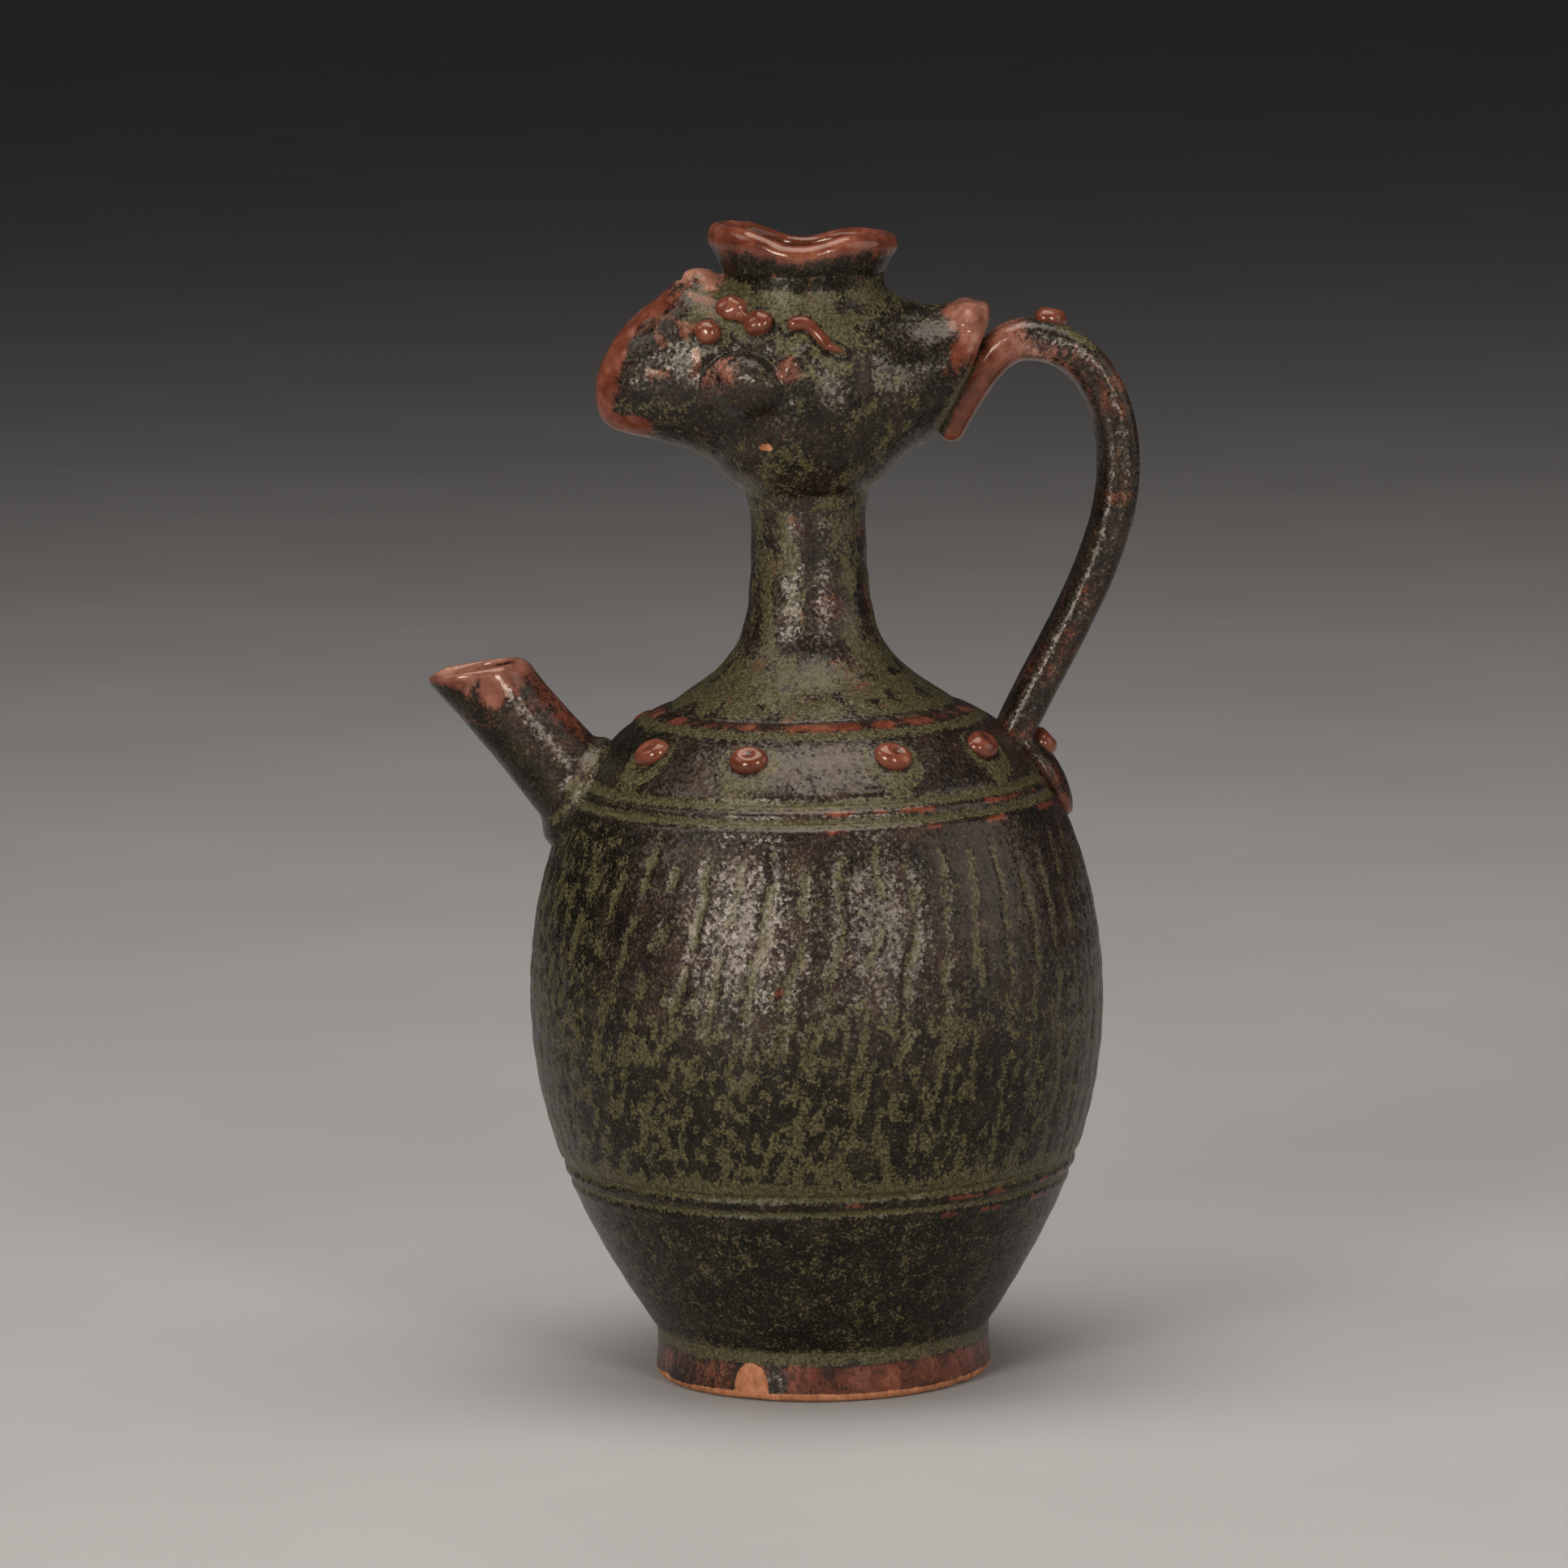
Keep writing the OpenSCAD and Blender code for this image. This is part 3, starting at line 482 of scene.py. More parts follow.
# main sizes, read from the frame
footR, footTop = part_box("foot_ring")[1].x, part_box("foot_ring")[1].z
bellyR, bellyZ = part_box("upper_body")[1].x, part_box("upper_body")[0].z
shoulderR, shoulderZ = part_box("neck")[1].x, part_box("neck")[0].z
headR, headZ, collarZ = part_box("head_bulb")[1].x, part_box("head_bulb")[0].z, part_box("head_bulb")[1].z

body = {
    "footTopR": 40.2 * mm, "flareOut": 15.9 * mm, "flareUp": 23.5 * mm,
    "bellyLow": 33.7 * mm, "bellyHigh": 27.8 * mm, "shoulderOut": 23.9 * mm, "shoulderDrop": 7 * mm,
    "wall": 5.5 * mm, "floor": 7 * mm, "neckSeat": 8.5 * mm,
    "lowGrooves": (43.6 * mm, 39.5 * mm),  # above the foot ring
    "highGrooves": (17 * mm, 21.1 * mm),  # below the neck's seat
    "grooveDepth": 0.75 * mm, "grooveWidth": 1.0 * mm,
    "groovePools": (1.25 * mm, 1.25 * mm, 1.3 * mm, 0.95 * mm),  # half widths, from the shoulder down
    "rows": 84, "innerRows": 20, "spinSteps": 600, "rowGap": 0.15 * mm,
    "grooveFine": 0.3 * mm, "grooveRows": 7, "grooveClear": 2.2 * mm,  # finer rows beside each groove
    "combLines": 49, "combHalf": 1.3 * mm, "combDepth": 0.3 * mm, "combLean": 19.0, "combBead": 5.5 * mm,
    # from where to where a mark fades in, as heights in mm
    "combTop": (141, 133), "combEnd": (51, 56), "combFall": (140, 56), "combBroken": (105, 80),
    "dabTop": (122, 92), "dabEnd": (48, 54), "fewDabs": (142, 130), "paintedShadeLow": (112, 74),
    "edgeTop": (146, 138), "shoulderLow": 138, "dabSize": 2.3,
    "edgeNear": (-38, -62), "edgeFar": (-170, -120),  # edge on the spout's side, degrees, with dabs and painted shade
    "dabSink": 0.12 * mm, "ridgeUp": 0.12 * mm, "ridgeHalf": 0.75 * mm, "ridgeDrop": 2 * mm,
    "rimDrop": 0.9 * mm, "rimHalf": 0.8 * mm, "rimUp": 0.2 * mm,
    "redSpot": (-10, 105 * mm), "spotHalf": 1.1 * mm,
    "sunk": 0.21 * mm, "waves": ((0.15, 46, 1), (0.06, 2.4, 8)), "rings": (0.05, 1.35, 2, 30),
}
buttons = {
    "drop": 7.4 * mm, "first": 21, "step": 34.5, "radius": 4.4 * mm, "up": 2.9 * mm,
    "dent": (0.5 * mm, 0.4 * mm), "dentDeep": 1.2 * mm, "dentHalf": (1.9 * mm, 1.6 * mm),
    # glaze on the shoulder: round a button, and in the run below it
    "markReach": 14 * mm, "ring": (9, 6), "ringDrop": 2 * mm, "run": (21, 9), "runStart": (-1, 3),
    "runAside": 1.5 * mm, "runHalf": 4.6 * mm, "creaseOut": 0.4 * mm, "creaseHalf": 0.7 * mm,
}

lowCurve = [
    pair(body["footTopR"], footTop),
    pair(body["footTopR"] + body["flareOut"], footTop + body["flareUp"]),
    pair(bellyR, bellyZ - body["bellyLow"]),
    pair(bellyR, bellyZ)]
highCurve = [
    pair(bellyR, bellyZ),
    pair(bellyR, bellyZ + body["bellyHigh"]),
    pair(shoulderR + body["shoulderOut"], shoulderZ - body["shoulderDrop"]),
    pair(shoulderR, shoulderZ)]
lowGrooves = [footTop + rise for rise in body["lowGrooves"]]
highGrooves = [shoulderZ - drop for drop in body["highGrooves"]]
buttonSeat = atHeight(highCurve, shoulderZ - buttons["drop"])
buttonTurns = [facing + hand * (buttons["first"] + k * buttons["step"])
               for facing in (0, 180) for hand in (-1, 1) for k in (0, 1)]


def skinRows(curve, grooves):
    heights = [bez(curve, i / body["rows"]).y for i in range(1, body["rows"])]
    for z in grooves:
        heights = [h for h in heights if abs(h - z) > body["grooveClear"]]
        heights += [z + k * body["grooveFine"] for k in range(-body["grooveRows"], body["grooveRows"] + 1)]
    kept = [heights.pop(heights.index(min(heights)))]
    for h in sorted(heights):
        if h - kept[-1] > body["rowGap"]:
            kept.append(h)
    return [curve[0]] + [atHeight(curve, h) for h in kept] + [curve[3]]


def combMark(p, turn, r):
    left = (1 - math.sin(math.radians(turn))) / 2  # lines lean at the spout and stand upright at the handle
    pitch = 360 / body["combLines"]
    wander = 1.5 * mottle(p, 14, 3) + 0.8 * mottle(p, 4, 4)
    u = (turn + body["combLean"] * left * fade(*body["combFall"], p.z) + wander) / pitch
    k = math.floor(u) % body["combLines"]
    off = abs(u - math.floor(u) - 0.5) * math.radians(pitch) * r
    half = body["combHalf"] * (0.8 + 0.2 * left)
    line = ease(half * 1.7, half * 0.4, off)
    chain = noise.noise(Vector((k * 5.3, 0.7, p.z / body["combBead"])))  # beads along each line
    broken = left * (0.3 + 0.18 * fade(*body["combBroken"], p.z)) - 0.05
    bead = ease(broken - 0.8, broken - 0.05, chain) * (0.7 + 0.3 * left)
    ragged = 5 * mm * noise.noise(Vector((k * 3.1, 4.2, 0)))
    return line * bead * (fade(*body["combTop"], p.z + ragged) * fade(*body["combEnd"], p.z))


def dabMark(p, turn):  # loose dabs between the lines, and how thickly they lie
    end, spoutSide = fade(*body["dabEnd"], p.z), ease(*body["edgeFar"], turn)
    low = fade(*body["dabTop"], p.z + 5 * mm * mottle(p, 20, 6)) * end
    edge = ease(*body["edgeNear"], turn) * spoutSide * fade(*body["edgeTop"], p.z) * end
    lean = Vector((p.x - 0.18 * (p.z - bellyZ), p.y, p.z * 0.7))
    dabs = ease(-0.25, 0.3, mottle(lean, body["dabSize"], 9) + 0.3 * mottle(p, 9, 5))
    few = 0.35 * fade(*body["fewDabs"], p.z) * end
    return dabs, max(low * (0.72 + 0.28 * ease(40, -10, turn)), 0.85 * edge, few)


def buttonMark(p, turn, r, turnK):  # glaze round a button, the run below it and the dark crease
    side = sideways(turn, turnK, r)
    if abs(side) >= buttons["markReach"]:
        return 0, 0
    down = math.hypot(r - buttonSeat.x, p.z - buttonSeat.y) * (1 if p.z < buttonSeat.y else -1)
    fray = 1.2 * mm * mottle(p, 4, 6)
    ring = fade(*buttons["ring"], math.hypot(side, down - buttons["ringDrop"]) + fray)
    run = fade(*buttons["run"], down) * fade(*buttons["runStart"], down)
    run *= hump(side + buttons["runAside"], buttons["runHalf"])
    creaseR = buttons["radius"] + buttons["creaseOut"]
    crease = hump(math.hypot(side, down) + fray - creaseR, buttons["creaseHalf"])
    return max(0.85 * ring, 0.85 * run), crease


def bodySkin(p):
    turn, r = turnOf(p), math.hypot(p.x, p.y)
    thin = 0.0
    comb = combMark(p, turn, r)
    dabs, cover = dabMark(p, turn)
    pool = max(0.85 * comb, (0.06 + 0.64 * dabs) * cover)
    sink = body["combDepth"] * comb - body["dabSink"] * dabs * cover
    for z, width in zip(highGrooves + lowGrooves, body["groovePools"]):
        sink += body["grooveDepth"] * hump(p.z - z, body["grooveWidth"])
        pool = max(pool, 1.1 * hump(p.z - z, width))
    overLow = p.z - lowGrooves[0]
    pool = max(pool, 0.85 * fade(-0.5, 0.8, overLow) * fade(6.5, 2.5, overLow + 2 * mm * mottle(p, 4, 2)))
    for high, low in (highGrooves, lowGrooves):
        for ridge in ((high + low) / 2, low - body["ridgeDrop"]):  # worn edges beside the grooves
            edge = hump(p.z - ridge, body["ridgeHalf"])
            sink -= body["ridgeUp"] * edge
            side = ease(-30, 25, turn) if turn < 150 else 0.6
            dash = ease(-0.1, 0.25, noise.noise(Vector((turn / 7, ridge * 90, 0))))
            thin = max(thin, edge * side * dash * (0.95 if ridge > bellyZ else 0.75))
            pool *= 1 - 0.9 * edge
    if p.z > body["shoulderLow"] * mm:
        top = shoulderZ - p.z
        rim = hump(top - body["rimDrop"], body["rimHalf"])  # sharp turned edge round the neck's foot
        dash = ease(-0.25, 0.2, noise.noise(Vector((turn / 9, 7.7, 0))))
        thin = max(thin, rim * (0.35 + 0.65 * dash))
        sink -= body["rimUp"] * rim
        pool = max(pool * (1 - rim), 0.95 * hump(top - 2.4 * mm, 1.0 * mm))
        for turnK in buttonTurns:
            glazed, crease = buttonMark(p, turn, r, turnK)
            pool = max(pool, glazed) * (1 - crease)
            thin *= 1 - crease
    spotTurn, spotZ = body["redSpot"]
    thin = max(thin, hump(math.hypot(sideways(turn, spotTurn, r), p.z - spotZ), body["spotHalf"]))
    # painted shade below the lower groove, where the body turns away from the light
    deep = fade(-0.5, -3, p.z - lowGrooves[1])
    streak = mottle(Vector((p.x, p.y, p.z * 3)), 9, 4)
    pool = max(pool, deep * (0.24 + 0.2 * streak + 0.1 * mottle(p, 4, 11)))  # olive specks over the painted shade
    # painted shade, darker towards the bottom of the belly and at its left edge
    leftEdge = ease(-34, -60, turn) * ease(*body["edgeFar"], turn)
    deep = max(deep, 0.9 * fade(*body["paintedShadeLow"], p.z), 0.85 * leftEdge)
    # painted shade on the shoulder's pools, dimming the overhead lamp's reflection
    deep = max(deep, 0.6 * min(pool, 1) * fade(body["shoulderLow"], body["shoulderLow"] + 4, p.z))
    pool = max(pool, 0.85 * fade(3.2, 1.8, p.z - footTop + 0.8 * mm * mottle(p, 3, 2)))
    sink += body["sunk"] + waves(p, body["waves"]) + throwRings(p, *body["rings"])
    return sink, pool, thin, deep


def dressBody(bm, curve):
    layers = [bm.verts.layers.float.new(key) for key in glazeMarks]
    skin = {}
    for v in bm.verts:
        key = round(v.co.z * 1e6)
        if key not in skin:
            skin[key] = (atHeight(curve, v.co.z).x, outAt(curve, v.co.z))
        edge, out = skin[key]
        if math.hypot(v.co.x, v.co.y) > edge - body["wall"] / 2:
            sink, v[layers[0]], v[layers[1]], v[layers[3]] = bodySkin(v.co)
            v.co -= turned(out, turnOf(v.co)) * sink
        elif v.co.z < footTop + 1 * mm:
            v[layers[2]] = 1.0  # bare underside inside the foot
        else:
            v[layers[1]] = 0.4


def makeBody():
    floorZ = footTop + body["floor"]
    inner = [q for q in insetCurve(lowCurve, body["wall"], body["innerRows"]) if q.y > floorZ + mm]
    profile = [pair(0, footTop), pair(footR - 9 * mm, footTop)] + skinRows(lowCurve, lowGrooves)
    profile += inner[::-1] + [pair(inner[0].x - 3 * mm, floorZ), pair(0, floorZ)]
    bm = spinProfile(profile, body["spinSteps"])
    dressBody(bm, lowCurve)
    settle(bm, "lowerBody", "dark_glaze", "lower_body")

    wellR, roofZ = shoulderR - body["neckSeat"], shoulderZ - body["wall"]
    inner = insetCurve(highCurve, body["wall"], body["innerRows"])
    inner = [q for q in inner if q.x > wellR + mm and q.y < roofZ]
    profile = skinRows(highCurve, highGrooves) + [pair(wellR, shoulderZ), pair(wellR, roofZ)] + inner[::-1]
    bm = spinProfile(profile, body["spinSteps"], closed=True)
    dressBody(bm, highCurve)
    settle(bm, "upperBody", "dark_glaze", "upper_body")


makeBody()

foot = {
    "width": 8.5 * mm, "bevel": 2 * mm, "lean": 0.5 * mm, "spinSteps": 360,
    "cove": 2.4 * mm, "hem": 3.2 * mm, "tuck": 0.7 * mm,
    # arch that the glaze missed, the drip beside it and the bare bottom edge
    "bareTurn": -28.0, "bareHalf": 4.6 * mm, "bareLow": 4 * mm, "bareTop": 9.3 * mm,
    "blobTurn": -18.8, "blobHalf": 3.2 * mm, "blobUp": 4.5 * mm, "bareEdge": (2.9, 1.5),
    "sunk": 0.2 * mm, "waves": ((0.15, 14, 0), (0.05, 2, 0)), "chipDeep": 0.3 * mm, "archDeep": 0.25 * mm,
}


def footMove(p, n):
    chip = ease(0.3, 0.6, mottle(p, 6, 5)) * fade(3, 0.3, p.z) * foot["chipDeep"]
    arch = hump(sideways(turnOf(p), foot["bareTurn"], footR), foot["bareHalf"]) * fade(10, 4, p.z)
    return -foot["sunk"] - chip - foot["archDeep"] * arch - waves(p, foot["waves"])


def footPaint(p, n):
    turn, r = turnOf(p), math.hypot(p.x, p.y)
    if r < footR - foot["width"] / 2:
        return {"bare": 1.0, "thin": 0.5}
    side = sideways(turn, foot["bareTurn"], footR) / foot["bareHalf"]
    up = max(p.z - foot["bareLow"], 0) / (foot["bareTop"] - foot["bareLow"])
    arch = ease(1.15, 0.85, math.hypot(side, up))
    blob = sideways(turn, foot["blobTurn"], footR) / foot["blobHalf"]
    lump = ease(1.1, 0.6, math.hypot(blob, (p.z - foot["blobUp"]) / foot["blobUp"]))
    edge = fade(*foot["bareEdge"], p.z + 0.5 * mm * mottle(p, 8, 3))
    top = fade(-2.2, -0.8, p.z - footTop + 0.7 * mm * mottle(p, 5, 1))
    smoky = ease(-18, -40, turn) * ease(-150, -110, turn)
    thin = 0.64 + 0.22 * mottle(p, 9, 7) + 0.15 * mottle(p, 2.5, 3) - 0.2 * smoky
    return {"bare": max(arch, edge), "thin": thin * (1 - lump) * (1 - top),
            "pool": max(0.85 * top, 0.3 * smoky)}


def makeFoot():
    topR, w, b = body["footTopR"], foot["width"], foot["bevel"]
    quarter = [math.pi / 16 * k for k in range(9)]
    rim = [pair(footR - b + b * math.sin(a), b - b * math.cos(a)) for a in quarter]
    shelf = pair(footR - foot["lean"], footTop - foot["cove"])
    wall = [pair(footR, b).lerp(shelf, k / 12) for k in range(1, 13)]
    hemZ = footTop + foot["hem"]
    hem = atHeight(lowCurve, hemZ) - outAt(lowCurve, hemZ) * foot["tuck"]  # runs in under the body's skin
    hemWay = wayAt(lowCurve, timeAt(lowCurve, hemZ))
    cove = [shelf, shelf + pair(0, foot["cove"] / 2), hem - hemWay * foot["hem"] / 2, hem]
    wall += alongCurve(cove, 12)[1:]
    under = [pair(footR - w + (w - b) * k / 6, 0) for k in range(1, 6)]
    back = [pair(topR - w, footTop).lerp(pair(footR - w, 0.6 * mm), k / 10) for k in range(11)]
    bm = spinProfile(under + rim + wall + back, foot["spinSteps"], closed=True)
    sculpt(bm, footMove)
    paint(bm, footPaint)
    settle(bm, "footRing", "foot_clay", "foot_ring")


makeFoot()

neck = {
    "waistR": 14 * mm, "waistDrop": 12.5 * mm, "topR": 14.6 * mm, "wall": 4.5 * mm,
    "sweepIn": 14.7 * mm, "sweepUp": 10 * mm, "pull": 28.5 * mm, "skirt": 0.3 * mm, "skirtDrop": 1.4 * mm,
    "rows": 76, "spinSteps": 300, "olive": 0.46, "oliveCone": 0.34, "darkTurn": 6, "darkHalf": 24,
    "proud": 0.05 * mm, "waves": ((0.3, 17, 0), (0.07, 2.4, 0)), "rings": (0.1, 1.5, 3, 20),
}
waistZ = headZ - neck["waistDrop"]
neckCurve = [
    pair(shoulderR, shoulderZ),
    pair(shoulderR - neck["sweepIn"], shoulderZ + neck["sweepUp"]),
    pair(neck["waistR"], waistZ - neck["pull"]),
    pair(neck["waistR"], waistZ)]


def neckMove(p, n):
    return neck["proud"] - throwRings(p, *neck["rings"]) - waves(p, neck["waves"])


def neckPaint(p, n):
    r = math.hypot(p.x, p.y)
    if r < atHeight(neckCurve, min(p.z, waistZ)).x - neck["wall"] / 2:
        return {"thin": 0.45}
    up = p.z - shoulderZ
    streak = mottle(Vector((p.x, p.y, p.z * 0.2)), 4.5, 5)
    cone = fade(22, 5, up)
    pool = neck["olive"] + 0.75 * streak + 0.45 * mottle(p, 5, 2) + neck["oliveCone"] * cone
    pool -= 0.4 * hump(apart(turnOf(p), neck["darkTurn"]), neck["darkHalf"]) * (1 - cone)
    return {"pool": pool * (1 - 0.6 * fade(1.2, 0.4, up)), "thin": 0.3 * ease(0.2, 0.5, mottle(p, 9, 8))}


def makeNeck():
    seatR, topZ, bore = shoulderR - body["neckSeat"], headZ + 1 * mm, neck["topR"] - neck["wall"]
    wall = [q for q in insetCurve(neckCurve, neck["wall"], 24) if q.x < seatR - 0.5 * mm]
    top = [neckCurve[3].lerp(pair(neck["topR"], topZ), k / 12) for k in range(1, 13)]
    skirtZ = shoulderZ - neck["skirtDrop"]  # sunk into the shoulder
    profile = [pair(shoulderR + neck["skirt"], skirtZ)] + alongCurve(neckCurve, neck["rows"]) + top
    profile += [pair(bore, topZ)] + wall[::-1] + [pair(seatR, skirtZ)]
    bm = spinProfile(profile, neck["spinSteps"], closed=True)
    sculpt(bm, neckMove)
    paint(bm, neckPaint)
    settle(bm, "flaredNeck", "olive_glaze", "neck")


makeNeck()

head = {
    "midUp": 25.5 * mm, "collarR": 19.2 * mm, "wall": 5 * mm,
    "jawOut": 8.4 * mm, "jawRise": 5.5 * mm, "low": 13 * mm, "high": 11 * mm, "crownDrop": 10 * mm,
    "rootX": 13.1 * mm, "voxel": 0.62 * mm, "smooths": 6, "sleeve": 5 * mm, "collarUp": 3.4 * mm,
    "cutLow": 9 * mm, "cutHigh": 8 * mm, "creaseLimit": 0.012 * mm, "creaseReach": 4, "creasePasses": 16,
    "proud": 0.3 * mm, "waves": ((0.3, 15, 2), (0.14, 5, 0), (0.06, 2, 0)),
}
beak = {
    "reach": -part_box("beak")[0].x, "tipUp": 24.6 * mm, "ridgeUp": 44.5 * mm,
    "browRise": 17.6 * mm, "browRun": 9.2 * mm, "roundUp": 15.2 * mm, "roundDown": 15.8 * mm,
    "jawRun": 21 * mm, "jawLift": 20 * mm,
    "rootW": 19 * mm, "taper": 2 * mm, "tipW": 9 * mm, "eyeAt": 0.24, "eyeTurn": 26,
    "combX": 24 * mm, "combR": 5.6 * mm, "combSink": 2.8 * mm, "band": 6.5 * mm,
}
crest = {
    "lowX": 31.3 * mm, "lowUp": 12 * mm, "topX": 46 * mm, "topUp": 44 * mm, "rootRise": 9.5 * mm,
    "dip": 7 * mm, "dipRun": 17 * mm, "lipRun": 8 * mm, "lipRise": 3 * mm,
    "jawRun": 7 * mm, "jawRise": 5 * mm, "endRun": 6 * mm, "endDrop": 2 * mm,
    "rootW": 21 * mm, "backW": 14 * mm, "taper": 3 * mm, "round": 4 * mm,
    "rollR": 4.7 * mm, "rollDown": 5.8 * mm, "rollIn": 4.8 * mm,
}
face = {
    "cheekTurn": 38, "cheekRise": 26.5 * mm, "cheekWide": 10.6 * mm, "cheekTall": 8.4 * mm,
    "cheekDeep": 4.8 * mm, "cheekSink": 1.4 * mm, "cheekTip": 14,
    "cheekReach": 9 * mm, "cheekSwell": 2.2 * mm,
    "earTurn": 10, "earRise": 31.6 * mm, "earLean": 53, "earSink": 0.5 * mm,
    "earLong": 5 * mm, "earWide": 2.6 * mm, "earDeep": 2.6 * mm,
    "lobeFar": (4.2 * mm, 3.1 * mm, 2.8 * mm), "lobeNear": (3.7 * mm, 3.25 * mm, 2.7 * mm),
    "lobeBead": (2 * mm, 1.6 * mm, 1.5 * mm), "eyeOval": (3.2 * mm, 3 * mm, 2.4 * mm),
    "browRise": 42.7 * mm, "browTilt": 1 * mm, "browStart": 33, "browSweep": 26,
    "coilR": 1.65 * mm, "coilTop": 40.7 * mm, "coilLow": 34.8 * mm, "coilBend": 3 * mm,
    "coilStart": 13, "coilSweep": 32, "chipRise": 12.4 * mm, "chipTurn": 26,
    "nostril": (-38.5 * mm, -8 * mm, 41 * mm), "browX": -29.5 * mm, "browUp": 1.3 * mm,
    "browHalf": 3.5 * mm, "creaseDeep": 0.7 * mm, "chipDeep": 0.5 * mm, "chipHalf": 1.6 * mm,
    "nostrilDeep": 0.6 * mm, "nostrilHalf": 2.2 * mm,
    "eyeLift": 0.3 * mm, "lobeLift": 0.2 * mm, "browVoxel": 0.3 * mm, "browSmooths": 3,
}
midZ = headZ + head["midUp"]
jawCurve = [
    pair(neck["topR"], headZ),
    pair(neck["topR"] + head["jawOut"], headZ + head["jawRise"]),
    pair(headR, midZ - head["low"]),
    pair(headR, midZ)]
crownCurve = [
    pair(headR, midZ),
    pair(headR, midZ + head["high"]),
    pair(head["collarR"], collarZ - head["crownDrop"]),
    pair(head["collarR"], collarZ)]
beakTop = [
    pair(-head["rootX"], headZ + beak["ridgeUp"]),
    pair(-head["rootX"] - beak["browRun"], headZ + beak["ridgeUp"] + beak["browRise"]),
    pair(-beak["reach"], headZ + beak["tipUp"] + beak["roundUp"]),
    pair(-beak["reach"], headZ + beak["tipUp"])]
beakUnder = [
    pair(-head["rootX"], headZ + 0.5 * mm),
    pair(-head["rootX"] - beak["jawRun"], headZ + beak["jawLift"]),
    pair(-beak["reach"], headZ + beak["tipUp"] - beak["roundDown"]),
    pair(-beak["reach"], headZ + beak["tipUp"])]
beakWidth = [pair(w, 0) for w in (beak["rootW"], beak["rootW"] - beak["taper"], beak["tipW"], 0)]
crestTop = [
    pair(head["rootX"], headZ + crest["topUp"] + crest["rootRise"]),
    pair(head["rootX"] + crest["dipRun"], headZ + crest["topUp"] - crest["dip"]),
    pair(crest["topX"] - crest["lipRun"], headZ + crest["topUp"] + crest["lipRise"]),
    pair(crest["topX"], headZ + crest["topUp"])]
crestUnder = [
    pair(head["rootX"], headZ + 0.5 * mm),
    pair(head["rootX"] + crest["jawRun"], headZ + crest["jawRise"]),
    pair(crest["lowX"] - crest["endRun"], headZ + crest["lowUp"] - crest["endDrop"]),
    pair(crest["lowX"], headZ + crest["lowUp"])]
crestWidth = [pair(crest["rootW"], 0), pair(crest["rootW"], 0),
              pair(crest["backW"] + crest["taper"], 0), pair(crest["backW"], 0)]
crestLow, crestHigh = crestUnder[3], crestTop[3]
crestUp = (crestHigh - crestLow).normalized()
crestAway = pair(crestUp.y, -crestUp.x)


def ribPlace(top, under, half, pull=0.0):
    inward = (under - top).normalized() * pull
    top, under, half = top + inward, under - inward, half - pull
    def place(a):
        at = under.lerp(top, (1 + math.sin(a)) / 2)
        return Vector((at.x, half * math.cos(a), at.y))
    return place


def beakPlace(t):
    return ribPlace(bez(beakTop, t), bez(beakUnder, t), bez(beakWidth, t).x)


def crestPlace(t):
    start = 1 - crest["round"] / (crest["topX"] - head["rootX"])
    pull = roundOff(t, start, crest["round"])
    return ribPlace(bez(crestTop, t), bez(crestUnder, t), bez(crestWidth, t).x, pull)


def headCurve(rise):
    return jawCurve if rise < head["midUp"] else crownCurve


def onHead(rise, turn, lift=0.0):  # turn runs from the camera's side towards the beak
    curve = headCurve(rise)
    q = atHeight(curve, headZ + rise) + outAt(curve, headZ + rise) * lift
    a = math.radians(turn)
    return Vector((-q.x * math.sin(a), -q.x * math.cos(a), q.y))


eyePlace = beakPlace(beak["eyeAt"])(math.radians(180 - beak["eyeTurn"]))


def browPlace(k):
    rise = face["browRise"] + face["browTilt"] * (2 * k - 1)
    return onHead(rise, face["browStart"] + face["browSweep"] * k)


def coilPlace(s):
    bend = face["coilBend"] * max(math.sin(math.radians(240 * s)), 0)
    rise = face["coilTop"] + s * (face["coilLow"] - face["coilTop"]) + bend
    return onHead(rise, face["coilStart"] - s * face["coilSweep"])


faceMarks = [(eyePlace, face["eyeOval"][0])] + [(browPlace(k), face["lobeNear"][0]) for k in (0, 1)]
faceMarks += [(coilPlace(k / 12), face["coilR"]) for k in range(13)]
cheekPlace = onHead(face["cheekRise"], face["cheekTurn"])
cheekOut = (onHead(face["cheekRise"], face["cheekTurn"], mm) - cheekPlace).normalized()
cheekSide = Vector((0, 0, 1)).cross(cheekOut).normalized()
cheekTop = cheekOut.cross(cheekSide)
earPlace = onHead(face["earRise"], face["earTurn"])
earOut = (onHead(face["earRise"], face["earTurn"], mm) - earPlace).normalized()
earFlat = Vector((0, 0, 1)).cross(earOut).normalized()
# the ear slants down towards the handle
earSlope = Matrix.Rotation(math.radians(face["earLean"]), 3, earOut) @ earFlat
chipPlace = onHead(face["chipRise"], face["chipTurn"])
beakRim = [bez(run, 0.3 + 0.7 * k / 30) for run in (beakTop, beakUnder) for k in range(31)]


def cheekAt(p):
    gap = nearSide(p) - cheekPlace
    return gap.dot(cheekSide) / face["cheekWide"], gap.dot(cheekTop) / face["cheekTall"], gap.dot(cheekOut)


def cheekCrease(p):
    a, b, deep = cheekAt(p)
    if abs(deep) > face["cheekReach"]:
        return 0.0
    return hump((math.hypot(a, b) - 1.02) * 8 * mm, 1.2 * mm) * ease(0.1, 0.7, b)


def softenCreases(bm, limit, reach, passes):
    bm.normal_update()
    hollow = set()
    for v in bm.verts:
        around = [e.other_vert(v).co for e in v.link_edges]
        if (sum(around, Vector()) / len(around) - v.co).dot(v.normal) > limit:
            hollow.add(v)
    for _ in range(reach):
        hollow |= {e.other_vert(v) for v in hollow for e in v.link_edges}
    relax(bm, list(hollow), passes)


